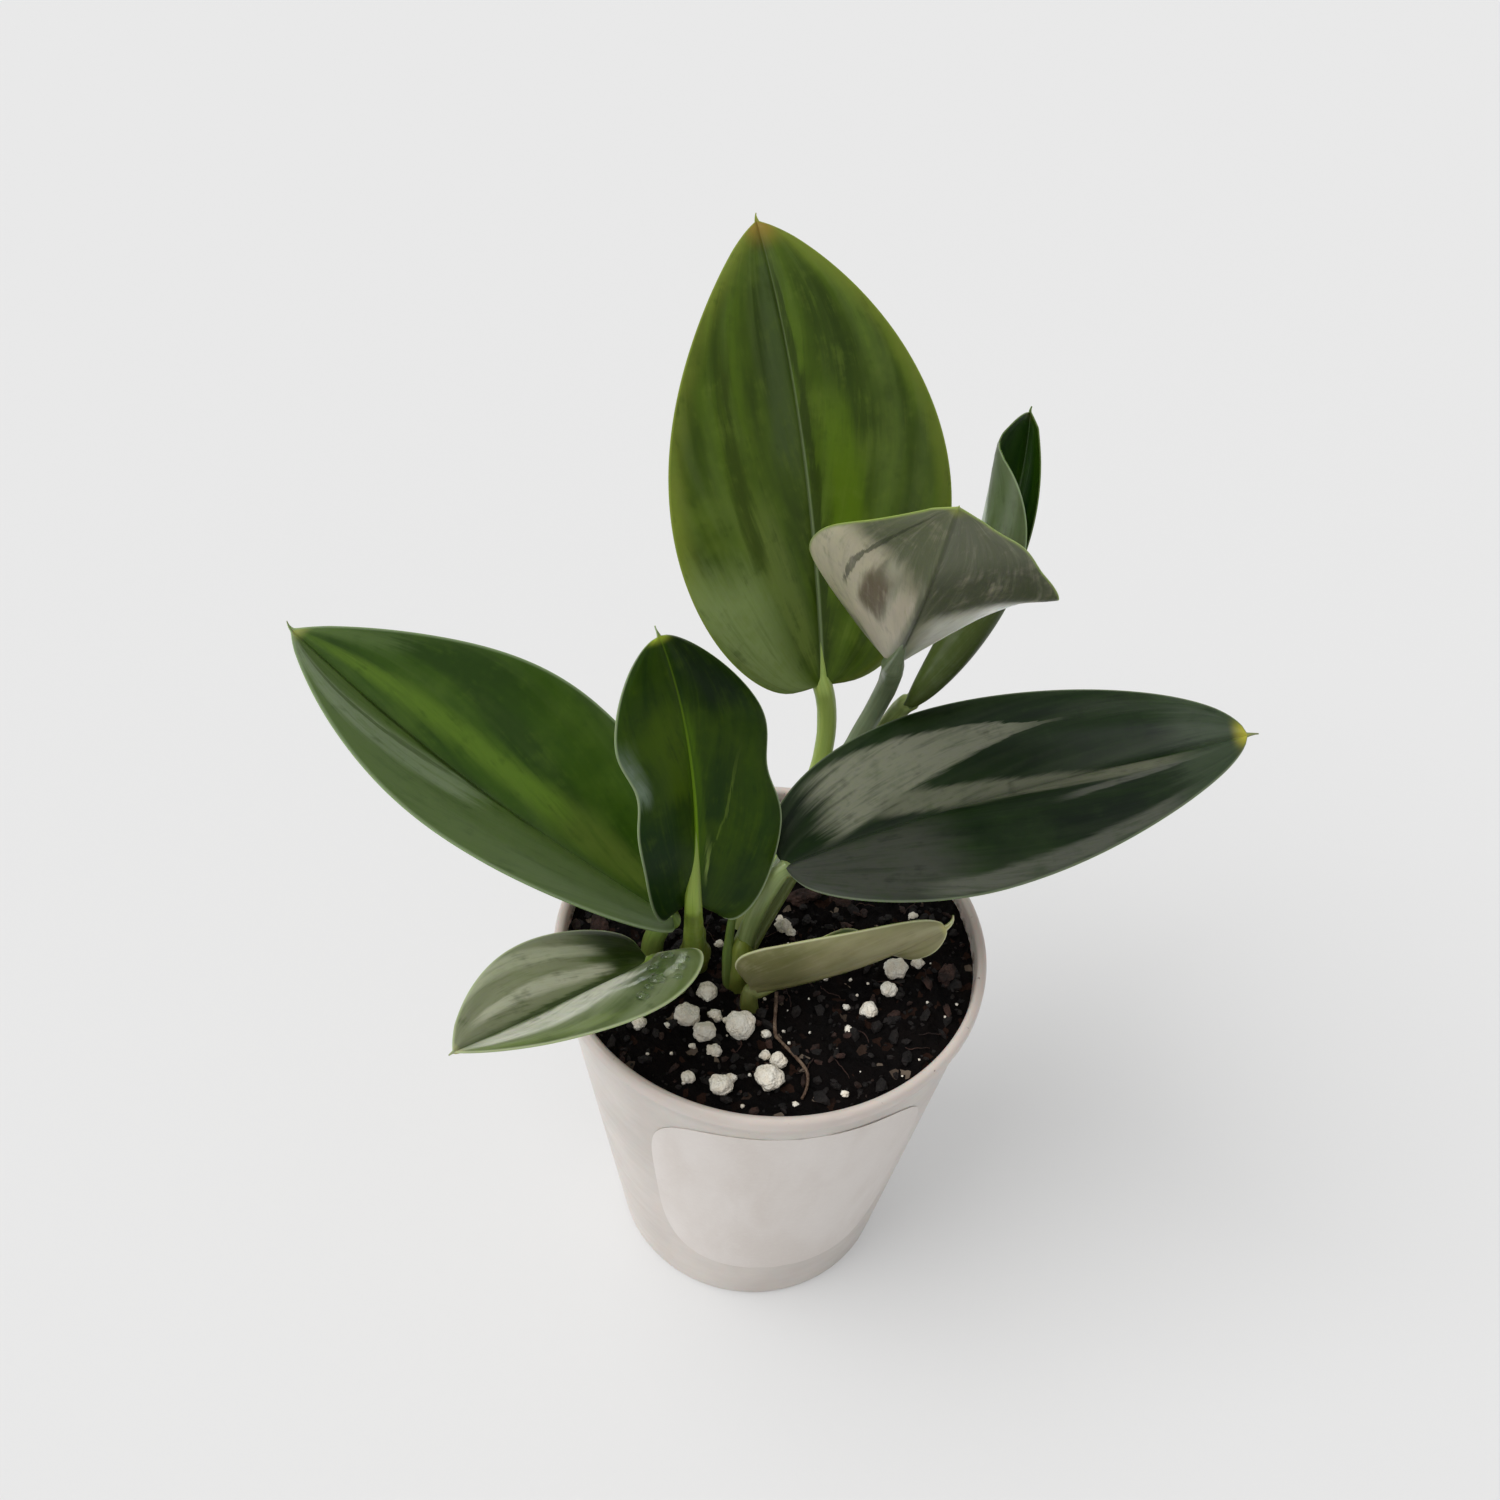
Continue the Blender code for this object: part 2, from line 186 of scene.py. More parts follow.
skinColours = ("Blade", "Dark", "Light", "Margin", "Rib", "Silver", "Tip", "Edge")
skinAmounts = {
    "Stripes": 2.5, "Silver Amount": 0.0, "Margin Amount": 0.6, "Rib Amount": 0.6, "Light Amount": 0.5,
    "Seed": 0.0, "Edge Width": 0.35, "Tip Start": 0.965,
}
bandValues = {
    "Side": 0.0, "Width": 0.2, "From": 0.0, "To": 1.0, "Soft": 0.5, "Amount": 0.5, "Lean": 0.0, "Narrow": 0.0,
    "Seed": 0.0,
}
finishColours = ("Blade", "Dark", "Light", "Margin", "Silver")


def buildLeafFinish():
    t, g, result = newGroup("leafFinish", finishColours, skinAmounts, [
        "Color", "Grain", "Rib Shade", "Rib Mask", "Tip Mask", "Edge Mask", "Roughness", "Height"])
    along, across = mapAxes(t, "leafMap")
    ribDistance, edgeDistance = mapAxes(t, "leafSize")
    side = minus(t, times(t, across, 2.0), 1.0)
    body = bodyPlace(t)

    # the side veins leave the midrib and run towards the point, so the pattern slants outwards on both halves
    slant = minus(t, calc(t, "ABSOLUTE", side), times(t, along, 0.8))
    half = times(t, calc(t, "GREATER_THAN", side, 0.0), 5.0)

    def veinwise(alongScale, acrossScale, shift, detail, roughness, distortion):
        layer = plus(t, plus(t, g["Seed"], half), shift)
        vector = vectorOf(t, times(t, along, alongScale), times(t, slant, acrossScale), layer)
        return noiseAt(t, vector, 1.0, detail, roughness, distortion)

    broad = veinwise(1.6, g["Stripes"], 0.0, 3.0, 0.55, 0.4)
    fine = veinwise(4.0, 26.0, 3.0, 4.0, 0.65, 0.2)
    cells = noiseAt(t, body, 1700.0, 2.0, 0.5)
    blotch = noiseAt(t, body, 75.0, 4.0, 0.6)
    mottle = noiseAt(t, body, 320.0, 3.0, 0.6)
    colour = mixColour(t, step(t, broad, 0.36, 0.62), g["Dark"], g["Blade"])
    colour = mixColour(t, times(t, step(t, blotch, 0.46, 0.72), g["Light Amount"]), colour, g["Light"])
    # silvery patches: partly the blade's satin variegation, partly painted sheen
    silverAndSheenNoise = veinwise(1.4, 4.0, 7.0, 2.0, 0.55, 0.4)
    silverAndSheen = times(t, step(t, silverAndSheenNoise, 0.45, 0.66), g["Silver Amount"], True)
    colour = mixColour(t, silverAndSheen, colour, g["Silver"])
    nearEdge = times(t, step(t, edgeDistance, 0.1, 3.4, 1.0, 0.0), g["Margin Amount"], True)
    nearEdge = times(t, nearEdge, step(t, blotch, 0.25, 0.6, 0.45, 1.0))
    colour = mixColour(t, nearEdge, colour, g["Margin"])
    grain = plus(t, times(t, mottle, 0.6), times(t, fine, 0.4))
    ribWidth = step(t, along, 0.0, 1.0, 0.5, 0.2)
    ribSpread = calc(t, "DIVIDE", ribDistance, ribWidth)
    ribFade = times(t, g["Rib Amount"], step(t, along, 0.3, 0.95, 1.0, 0.35))
    shade = times(t, step(t, ribSpread, 0.8, 2.6, 0.45, 0.0), ribFade)
    rib = times(t, step(t, ribSpread, 0.3, 1.0, 1.0, 0.0), ribFade, True)
    tip = times(t, step(t, along, g["Tip Start"], 0.998), step(t, ribDistance, 0.7, 3.0, 1.0, 0.15))
    tip = times(t, tip, step(t, blotch, 0.2, 0.6, 0.7, 1.0))
    # thin pale line at the margin: partly the blade's pale rim, partly a painted rim highlight
    edge = step(t, edgeDistance, 0.06, g["Edge Width"], 0.8, 0.0)
    rough = plus(t, step(t, blotch, 0.3, 0.7, 0.30, 0.38), times(t, fine, 0.08))
    height = plus(t, times(t, fine, 0.7), times(t, cells, 0.16))
    giveOut(t, result, {"Color": colour, "Grain": grain, "Rib Shade": shade, "Rib Mask": rib, "Tip Mask": tip,
                        "Edge Mask": edge, "Roughness": rough, "Height": height})
    return t


def buildLeafBand():
    # mask of one lengthwise patch on a blade: where it lies across and along, and how it narrows.
    # Patches give colour zones of the blade and also painted sheens and glints
    t, g, result = newGroup("leafBand", [], bandValues, ["Mask"])
    along, across = mapAxes(t, "leafMap")
    side = minus(t, times(t, across, 2.0), 1.0)
    slant = minus(t, calc(t, "ABSOLUTE", side), times(t, along, 0.7))
    vector = vectorOf(t, times(t, along, 5.0), times(t, slant, 14.0), g["Seed"])
    wobble = minus(t, noiseAt(t, vector, 1.0, 4.0, 0.65), 0.5)
    centre = plus(t, g["Side"], times(t, g["Lean"], along))
    away = calc(t, "ABSOLUTE", minus(t, side, centre))
    away = plus(t, away, times(t, wobble, 0.16))
    left = calc(t, "MAXIMUM", minus(t, 1.0, times(t, g["Narrow"], along)), 0.02)
    width = times(t, g["Width"], left)
    inner = times(t, width, minus(t, 1.0, g["Soft"]))
    body = step(t, away, inner, width, 1.0, 0.0)
    shifted = plus(t, along, times(t, wobble, 0.12))
    start = step(t, shifted, minus(t, g["From"], 0.05), plus(t, g["From"], 0.05))
    end = step(t, shifted, minus(t, g["To"], 0.08), plus(t, g["To"], 0.08), 1.0, 0.0)
    mask = times(t, times(t, body, times(t, start, end)), g["Amount"])
    mask = times(t, mask, step(t, wobble, -0.2, 0.02, 0.6, 1.0), True)
    giveOut(t, result, {"Mask": mask})
    return t


leafFinish = buildLeafFinish()
leafBand = buildLeafBand()


def leafMaterial(name, look, gloss):
    # look: the colours in the order of skinColours, the amounts in that of skinAmounts, and then the bands,
    # each a colour and its values in the order of bandValues; what is left out keeps the value given there
    tones, numbers, *bands = look
    material, tree, shader = newMaterial(name, {
        "Specular IOR Level": gloss, "Subsurface Weight": 0.3, "Subsurface Scale": 0.0006,
        "Subsurface Radius": (0.5, 1.0, 0.15)})
    colours = {key: tint(*colour) for key, colour in zip(skinColours, tones)}
    amounts = dict(zip(skinAmounts, numbers))
    given = {key: colours[key] for key in finishColours}
    finish = put(tree, "Group", {**given, **amounts}, node_tree=leafFinish).outputs
    colour = finish["Color"]
    # the bands lay colour zones and also painted sheens and glints into the colour
    for i, (bandColour, *values) in enumerate(bands):
        given = {**dict(zip(bandValues, values)), "Seed": amounts["Seed"] + i}
        mask = put(tree, "Group", given, node_tree=leafBand).outputs["Mask"]
        colour = mixColour(tree, mask, colour, tint(*bandColour))
    colour = mixColour(tree, step(tree, finish["Grain"], 0.48, 0.30, 0.0, 0.5), colour, colours["Dark"])
    colour = mixColour(tree, step(tree, finish["Grain"], 0.50, 0.70, 0.0, 0.4), colour, colours["Light"])
    colour = mixColour(tree, finish["Rib Shade"], colour, colours["Dark"])
    # the Edge colour is partly a painted rim highlight
    for key in ("Rib", "Tip", "Edge"):
        colour = mixColour(tree, finish[key + " Mask"], colour, colours[key])
    wireSkin(tree, shader, colour, finish["Roughness"], finish["Height"], 0.2, 0.0002)
    return material


def bladeWidth(leaf, s):
    widest = leaf["widest"]
    low = np.sqrt(np.clip(1 - (1 - np.minimum(s, widest) / widest) ** 2, 0, 1))
    high = np.cos(math.pi / 2 * np.clip((s - widest) / (1 - widest), 0, 1)) ** leaf["taper"]
    width = np.where(s < widest, low, high)
    return width * (1 - leaf["waist"] * np.exp(-((s - 0.46) / 0.12) ** 2))


def midrib(leaf, s):
    # position and the forward, left and up directions along the midrib, in mm
    bend = np.minimum(s, 1.0) ** 1.5
    beyond = np.maximum(s - 1.0, 0.0) / (leaf["hook"][0] / leaf["length"])
    rise = np.radians(leaf["rise"] - leaf["bend"] * bend + leaf["hook"][1] * beyond)
    heading = np.radians(leaf["heading"] + leaf["swing"] * np.minimum(s, 1.0) + leaf["hook"][2] * beyond)
    forward = np.stack([np.cos(rise) * np.cos(heading), np.cos(rise) * np.sin(heading), np.sin(rise)], 1)
    steps = 0.5 * (forward[1:] + forward[:-1]) * (leaf["length"] * np.diff(s))[:, None]
    place = np.array(leaf["base"]) + np.vstack([np.zeros(3), np.cumsum(steps, 0)])
    level = np.stack([-np.sin(heading), np.cos(heading), 0 * s], 1)
    above = np.cross(forward, level)
    roll = np.radians(leaf["tilt"] + leaf["twist"] * np.minimum(s, 1.0))[:, None]
    left = level * np.cos(roll) + above * np.sin(roll)
    return place, forward, left, above * np.cos(roll) - level * np.sin(roll)


def bladeSurface(leaf, s, v):
    # middle surface of the blade at every station s and side position v
    place, forward, left, above = midrib(leaf, s)
    shape = bladeWidth(leaf, np.minimum(s, 1.0))
    ahead = (1 - s) * leaf["length"] + leaf["hook"][0]  # mm left to the end of the drawn-out point
    spike = 0.95 * (np.clip(ahead, 0, 6) / (leaf["hook"][0] + 1.6)) ** 1.5
    away = np.abs(v)[None, :]
    rightSide = (v > 0)[None, :]
    width = np.where(rightSide, leaf["right"], leaf["left"]) * shape[:, None]
    pointed = np.cbrt(width ** 3 + np.minimum(spike, 1.6)[:, None] ** 3)
    width = np.where((s > 0.5)[:, None], pointed, width) + 0.05
    fold = np.where(rightSide, leaf["fold"][1], leaf["fold"][0])
    change = np.where(rightSide, leaf["foldChange"][1], leaf["foldChange"][0])
    lift = np.radians(fold + leaf["arch"] + change * np.minimum(s, 1.0)[:, None])
    curl = np.full_like(lift, math.radians(leaf["cup"] - 2 * leaf["arch"] + 0.01))
    if "furl" in leaf:
        # the left half has a curl and a fold of its own at each station, eased between them
        furl = leaf["furl"]

        def eased(key):
            near = [np.interp(s + shift, furl["at"], furl[key]) for shift in (-0.06, -0.02, 0.02, 0.06)]
            return np.radians(np.mean(near, 0))[:, None]

        curl = np.where(rightSide, curl, eased("curl"))
        lift = np.where(rightSide, lift, eased("fold"))
    x = (np.sin(lift + curl * away) - np.sin(lift)) / curl
    z = (np.cos(lift) - np.cos(lift + curl * away)) / curl
    lobe = np.where(rightSide, leaf["lobes"][1], leaf["lobes"][0])
    reach, rise = leaf.get("lobeShape", (0.32, 0.012))
    near = np.clip(1 - s / reach, 0, 1) ** 2 * (1 - np.exp(-np.maximum(s, 0) / rise))
    back = lobe * near[:, None] * away ** 1.4
    wave = np.zeros((len(s), len(v)))
    for i, a in enumerate(s):
        for j, b in enumerate(v):
            wave[i, j] = noise.noise(Vector((a * 2.6, b * 1.9, leaf["seed"])))
    envelope = np.sin(math.pi * np.clip(s, 0, 1))[:, None] ** 0.7
    phase = 2 * math.pi * 1.7 * away + leaf["seed"] + 1.3 * rightSide + 1.5 * s[:, None]
    ripple = leaf["ripple"] * np.sin(phase) * envelope
    ripple = ripple * np.clip(away * 3, 0, 1) * np.clip((1 - away) * 3, 0, 1)
    lifted = width * z + wave * leaf["wave"] * envelope * (0.3 + away) + ripple
    sign = np.where(rightSide, -1.0, 1.0)
    points = place[:, None, :] + left[:, None, :] * (sign * width * x)[..., None]
    points = points + above[:, None, :] * lifted[..., None] - forward[:, None, :] * back[..., None]
    for centre, spread, pulledSide, power, pull in leaf.get("pulls", ()):
        near = np.exp(-((np.minimum(s, 1.0) - centre) / spread) ** 2)[:, None] * away ** power
        points = points + np.where(rightSide == (pulledSide > 0), near, 0.0)[..., None] * np.array(pull)
    return points, width * away, width * (1 - away)


def stationsOf(leaf, along):
    t = np.linspace(0, 1, along + 1)
    s = 0.45 * t + 0.55 * (0.5 - 0.5 * np.cos(math.pi * t))
    s[0] = 0.0015
    hookStations = 1 + leaf["hook"][0] / leaf["length"] * np.array([0.25, 0.5, 0.75, 1.0])
    return np.concatenate([s, hookStations])


def surfaceNormals(points):
    alongStep = np.gradient(points, axis=0)
    acrossStep = np.gradient(points, axis=1)
    normal = np.cross(acrossStep, alongStep)
    return normal / np.maximum(np.linalg.norm(normal, axis=2), 1e-9)[..., None]


# stations along and across half a blade, and mm of thickness, midrib groove and ridge underneath
bladeSkin = {
    "along": 84, "across": 26, "edgeThickness": 0.16, "extraThickness": 0.26, "edgeBand": 1.2,
    "grooveDepth": 0.16, "grooveWidth": 0.4, "ridgeDepth": 0.1, "baseRidge": 0.35, "ridgeWidth": 0.5,
}


def buildBlade(name, leaf, materials):
    skin = bladeSkin
    s = stationsOf(leaf, skin["along"])
    v = np.linspace(-1, 1, 2 * skin["across"] + 1)
    middle, ribDistance, edgeDistance = bladeSurface(leaf, s, v)
    normal = surfaceNormals(middle)
    inside = np.clip(edgeDistance / skin["edgeBand"], 0, 1)
    half = 0.5 * (skin["edgeThickness"] + skin["extraThickness"] * inside)
    clear = np.clip(edgeDistance * 2, 0, 1)  # so that groove and ridge end at the margin
    depth = skin["ridgeDepth"] + skin["baseRidge"] * np.clip(1.05 - s, 0, 1)[:, None]
    groove = skin["grooveDepth"] * np.exp(-(ribDistance / skin["grooveWidth"]) ** 2) * clear
    ridge = depth * np.exp(-(ribDistance / skin["ridgeWidth"]) ** 2) * clear
    top = middle + normal * (half - groove)[..., None]
    bottom = middle - normal * (half + ridge)[..., None]
    rows, columns = middle.shape[:2]
    points = np.concatenate([top.reshape(-1, 3), bottom.reshape(-1, 3)]) * mm
    total = rows * columns
    faces, sides = [], []
    for i in range(rows - 1):
        for j in range(columns - 1):
            a = i * columns + j
            faces.append((a, a + 1, a + 1 + columns, a + columns))
            faces.append((a + total, a + columns + total, a + 1 + columns + total, a + 1 + total))
            sides += [0, 1]
    border = [(i * columns, (i + 1) * columns) for i in range(rows - 1)]
    border += [((rows - 1) * columns + j, (rows - 1) * columns + j + 1) for j in range(columns - 1)]
    border += [((i + 1) * columns + columns - 1, i * columns + columns - 1) for i in range(rows - 1)]
    border += [(j + 1, j) for j in range(columns - 1)]
    for a, b in border:
        faces.append((a, b, b + total, a + total))
        sides.append(0)
    piece = newPiece(name, points, faces, materials, sides)
    lengthMap = np.repeat(np.minimum(s, 1.0)[:, None], columns, 1)
    sideMap = np.repeat(v[None, :] * 0.5 + 0.5, rows, 0)
    for key, first, second in (("leafMap", lengthMap, sideMap), ("leafSize", ribDistance, edgeDistance)):
        values = np.stack([first.ravel(), second.ravel()], 1)
        addMap(piece, key, np.concatenate([values, values]))
    return piece


# Blades. base: where the petiole meets the blade, in mm. heading, rise: direction of the midrib there, in
# degrees. bend, swing: how far it comes down and turns left by the tip. tilt, twist: roll about it. left,
# right: widest half-widths. fold, foldChange: how far each half is lifted. cup, arch: curl of the halves.
# widest: where the blade is widest. taper: sharpness of the tip. lobes: how far each half reaches back at the
# base. waist: narrowing half way. hook: length of the drawn-out point, and how far it rises and turns.
# ripple, wave: mm of unevenness. pulls: local moves of one half, each a station, its spread, the side, a
# power of the distance from the midrib, and mm along x, y and z. furl: curl and fold of a rolled left half.
# lobeShape: how far up the blade the lobes reach, and how soon they round off. top, under: looks of the sides
# as leafMaterial takes them; a blade that gives no under has the plain one.
blades = {
    "back_leaf": {
        "base": (3.8, 20.2, 91.2), "heading": 110, "rise": 68, "bend": 20, "swing": 13, "tilt": 5,
        "twist": -12, "length": 60, "left": 20, "right": 19.5, "fold": (14, 13), "foldChange": (0, 0),
        "cup": -11, "arch": 8, "widest": 0.42, "taper": 0.76, "lobes": (1.6, 1.0), "waist": 0,
        "hook": (1.2, -20, -40), "seed": 3.1, "ripple": 0.1, "wave": 0.5, "gloss": 0.16,
        "top": (
            ((0.29, 0.38, 0.061), (0.18, 0.25, 0.008), (0.38, 0.46, 0.15), (0.45, 0.5, 0.17),
             (0.45, 0.51, 0.35), (0.37, 0.44, 0.22), (0.54, 0.46, 0.18), (0.51, 0.55, 0.23)),
            (3.0, 0.3, 0.75, 0.9, 0.6, 3.0, 0.35, 0.93),
            ((0.49, 0.56, 0.33), -0.75, 0.55, -0.2, 0.3, 0.8, 1.0),
            ((0.41, 0.48, 0.21), -0.12, 0.13, 0.06, 0.42, 0.6, 0.8, -0.8, -1.2),
            ((0.18, 0.24, 0.008), -0.3, 0.09, 0.3, 0.75, 0.7, 0.8, -0.5),
            ((0.28, 0.35, 0.17), -0.15, 0.16, 0.5, 0.97, 0.7, 0.8),
            ((0.15, 0.22, 0.008), 0.42, 0.32, 0.52, 0.92, 0.8, 0.8),
            ((0.15, 0.21, 0.008), 0.05, 0.05, 0.0, 0.92, 0.6, 0.8),
            ((0.33, 0.43, 0.067), 0.2, 0.16, 0.3, 0.62, 0.7, 0.9, 0.1),
        ),
    },
    "left_leaf": {
        "base": (-13.2, -6.4, 71.4), "heading": 166, "rise": 24, "bend": -4.5, "swing": -13, "tilt": 12,
        "twist": -11, "length": 62, "left": 17.5, "right": 20.5, "fold": (24, 20), "foldChange": (0, 0),
        "cup": 0, "arch": 9, "widest": 0.41, "taper": 0.83, "lobes": (2.2, 1.5), "waist": 0,
        "hook": (1.4, 60, -20), "seed": 5.7, "ripple": 0.12, "wave": 0.5, "gloss": 0.16,
        "top": (
            ((0.18, 0.29, 0.013), (0.13, 0.23, 0.008), (0.28, 0.38, 0.1), (0.25, 0.34, 0.13),
             (0.24, 0.32, 0.14), (0.3, 0.38, 0.18), (0.58, 0.6, 0.32), (0.53, 0.59, 0.45)),
            (3.0, 0.25, 0.4, 0.3, 0.5, 11.0, 0.65),
            # grey band over the lower half: painted sheen
            ((0.3, 0.38, 0.18), -0.55, 0.56, -0.2, 1.1, 0.12, 1.0),
            ((0.45, 0.51, 0.38), 0.3, 0.26, 0.48, 1.0, 0.5, 0.95, -1.1),
            ((0.22, 0.28, 0.12), 0.42, 0.05, 0.55, 0.95, 0.5, 0.7, -1.1),
            ((0.14, 0.2, 0.026), -0.06, 0.07, 0.35, 0.95, 0.6, 0.9),
            ((0.33, 0.44, 0.11), 0.14, 0.15, 0.3, 0.95, 0.8, 0.9, 0.15),
            ((0.33, 0.4, 0.14), 0.18, 0.22, 0.06, 0.32, 0.8, 0.7),
            ((0.33, 0.41, 0.22), 0.75, 0.3, 0.82, 1.1, 0.8, 0.7),
        ),
    },
    "middle_leaf": {
        "base": (-9.9, -12.0, 80.8), "heading": 90, "rise": 61, "bend": 13, "swing": 39.5, "tilt": 25,
        "twist": -3, "length": 34, "left": 11, "right": 13.8, "fold": (24, 15.5), "foldChange": (-36, -31),
        "cup": 2, "arch": 9, "widest": 0.59, "taper": 0.54, "lobes": (3.6, 3.2), "waist": 0.18,
        "hook": (1.5, 30, 60), "seed": 8.3, "ripple": 0.07, "wave": 0.5, "gloss": 0.12,
        "pulls": ((0.0, 0.15, -1, 0.5, (-1.9, 2.2, -2.3)), (0.0, 0.15, 1, 0.5, (1.2, 2.4, -2.8))),
        "top": (
            ((0.15, 0.24, 0.008), (0.078, 0.17, 0.008), (0.23, 0.32, 0.008), (0.15, 0.23, 0.008),
             (0.4, 0.53, 0.078), (0.19, 0.27, 0.013), (0.62, 0.68, 0.22), (0.57, 0.62, 0.49)),
            (2.6, 0.2, 0.2, 1.0, 0.6, 21.0),
            ((0.04, 0.16, 0.008), -0.7, 0.5, -0.2, 0.38, 0.6, 0.9),
            ((0.24, 0.33, 0.008), -0.3, 0.42, 0.42, 0.74, 0.9, 1.0),
            ((0.29, 0.41, 0.026), 0.0, 0.14, 0.05, 0.72, 0.9, 0.75),
            # pale patch at the left margin: painted sheen
            ((0.42, 0.48, 0.41), -0.92, 0.2, 0.44, 0.62, 0.8, 0.9),
            ((0.019, 0.1, 0.008), 0.6, 0.55, 0.7, 1.1, 0.8, 0.9),
            ((0.5, 0.58, 0.29), 0.1, 0.035, 0.12, 0.2, 0.6, 0.9, 0.2),
            ((0.37, 0.45, 0.17), -0.1, 0.016, 0.2, 0.5, 0.6, 0.5, 1.3),
        ),
    },
    "right_leaf": {
        "base": (0.9, -5.1, 81.9), "heading": 31.5, "rise": 5.5, "bend": -23, "swing": -33.5, "tilt": 6,
        "twist": 3.5, "length": 62, "left": 14.7, "right": 16.8, "fold": (11, 16.5), "foldChange": (1, -5),
        "cup": 2, "arch": 13, "widest": 0.41, "taper": 0.56, "lobes": (1.4, 1.0), "waist": 0,
        "hook": (1.4, -10, -10), "seed": 2.4, "ripple": 0.14, "wave": 0.4, "gloss": 0.13,
        "top": (
            ((0.051, 0.13, 0.008), (0.008, 0.072, 0.008), (0.13, 0.2, 0.078), (0.12, 0.19, 0.078),
             (0.16, 0.21, 0.13), (0.2, 0.24, 0.16), (0.66, 0.64, 0.21), (0.4, 0.43, 0.35)),
            (3.0, 0.35, 0.15, 0.35, 0.5, 31.0),
            # these grey bands are painted sheen: reflections laid into the dark blade's colour
            ((0.24, 0.25, 0.22), 0.5, 0.62, -0.2, 0.33, 0.5, 0.95),
            ((0.45, 0.46, 0.39), -0.44, 0.6, 0.13, 0.6, 0.22, 1.0, -0.3, 1.6),
            ((0.39, 0.4, 0.33), -0.36, 0.14, 0.24, 0.88, 0.5, 0.95, 0.65),
            ((0.34, 0.35, 0.31), 0.3, 0.06, 0.62, 0.9, 0.5, 0.8),
            ((0.33, 0.34, 0.3), 0.9, 0.12, 0.25, 0.85, 0.6, 0.85),
            ((0.23, 0.28, 0.2), 0, 1.3, 0.86, 1.2, 0.1, 0.7),
        ),
    },
    "folded_leaf": {
        "base": (11.9, 8.6, 105.0), "heading": -90, "rise": 49.5, "bend": -22.5, "swing": 10, "tilt": -3,
        "twist": -15, "length": 45.7, "left": 18, "right": 15, "fold": (38.5, 41.5),
        "foldChange": (-22, -15), "cup": -1, "arch": 0, "widest": 0.32, "taper": 0.89, "lobes": (0.6, 0.6),
        "waist": 0, "hook": (0.3, -30, 0), "seed": 6.6, "ripple": 0.06, "wave": 0.4, "gloss": 0.25,
        "pulls": ((0.32, 0.22, -1, 2.0, (-1.6, 0.0, -1.6)), (0.66, 0.1, -1, 2.0, (-0.7, 0.0, 0.0)),
                  (0.5, 0.09, -1, 3.0, (0.9, 0.0, -1.5)), (0.8, 0.09, -1, 2.0, (-0.3, 0.0, 0.9)),
                  (0.33, 0.2, 1, 2.0, (-0.5, 0.0, 0.0))),
        "top": (
            ((0.24, 0.34, 0.067), (0.14, 0.23, 0.008), (0.33, 0.42, 0.18), (0.44, 0.51, 0.16),
             (0.35, 0.43, 0.2), (0.37, 0.42, 0.29), (0.5, 0.35, 0.13), (0.57, 0.64, 0.29)),
            (2.6, 0.4, 0.4, 0.5, 0.4, 41.0),
        ),
        "under": (
            ((0.54, 0.53, 0.44), (0.38, 0.39, 0.3), (0.65, 0.62, 0.54), (0.5, 0.52, 0.33),
             (0.18, 0.19, 0.12), (0.69, 0.68, 0.6), (0.47, 0.49, 0.24), (0.54, 0.59, 0.33)),
            (2.4, 0.5, 0.35, 1.0, 0.5, 8.0),
            ((0.35, 0.37, 0.28), 0, 1.3, 0.68, 1.3, 0.1, 0.95),
            ((0.27, 0.29, 0.21), -0.5, 0.56, 0.46, 0.74, 0.12, 0.95),
            # the two whitish bands next are painted sheen on the underside
            ((0.8, 0.8, 0.75), -0.35, 0.3, -0.1, 0.44, 0.5, 0.85),
            ((0.98, 0.98, 0.96), -0.8, 0.36, -0.1, 0.42, 0.5, 1.0),
            ((0.73, 0.7, 0.6), 0.74, 0.3, 0.1, 0.66, 0.25, 0.95),
            ((0.8, 0.75, 0.67), 0.3, 0.3, -0.1, 0.3, 0.5, 0.7),
            ((0.78, 0.73, 0.65), 0.14, 0.12, 0.25, 0.6, 0.5, 0.6),
            ((0.37, 0.32, 0.24), 0.34, 0.16, 0.28, 0.56, 0.5, 1.0, 0.1),
            ((0.23, 0.24, 0.18), 0.6, 0.03, 0.3, 0.95, 0.5, 0.8, 0.1),
        ),
    },
    "rolled_leaf": {
        "base": (15.3, 15.9, 92.3), "heading": 49.5, "rise": 28, "bend": -9, "swing": 39.5, "tilt": 32,
        "twist": -23, "length": 46.5, "left": 14.2, "right": 5.4, "fold": (66, 15), "foldChange": (0, 0),
        "cup": 90, "arch": 0, "widest": 0.5, "taper": 0.72, "lobes": (0, 0), "waist": 0,
        "hook": (1.0, 10, -30), "seed": 9.2, "ripple": 0.03, "wave": 0.2, "gloss": 0.15,
        "furl": {"at": (0.0, 0.35, 0.55, 0.7, 0.8, 1.0), "curl": (275, 245, 190, 138, 56, 40),
                 "fold": (0, 1, 2, 2, 20, 32)},
        "top": (
            ((0.1, 0.21, 0.008), (0.04, 0.15, 0.008), (0.17, 0.27, 0.026), (0.18, 0.26, 0.04),
             (0.24, 0.35, 0.11), (0.18, 0.26, 0.089), (0.24, 0.28, 0.078), (0.34, 0.41, 0.21)),
            (2.2, 0.1, 0.2, 0.5, 0.3, 51.0),
            ((0.27, 0.32, 0.11), 0, 1.3, -0.3, 0.5, 0.3, 0.9),
        ),
        "under": (
            ((0.23, 0.27, 0.11), (0.15, 0.19, 0.013), (0.37, 0.42, 0.29), (0.4, 0.45, 0.31),
             (0.3, 0.35, 0.18), (0.46, 0.5, 0.4), (0.22, 0.24, 0.054), (0.5, 0.56, 0.43)),
            (2.4, 0.3, 0.3, 0.5, 0.5, 9.0),
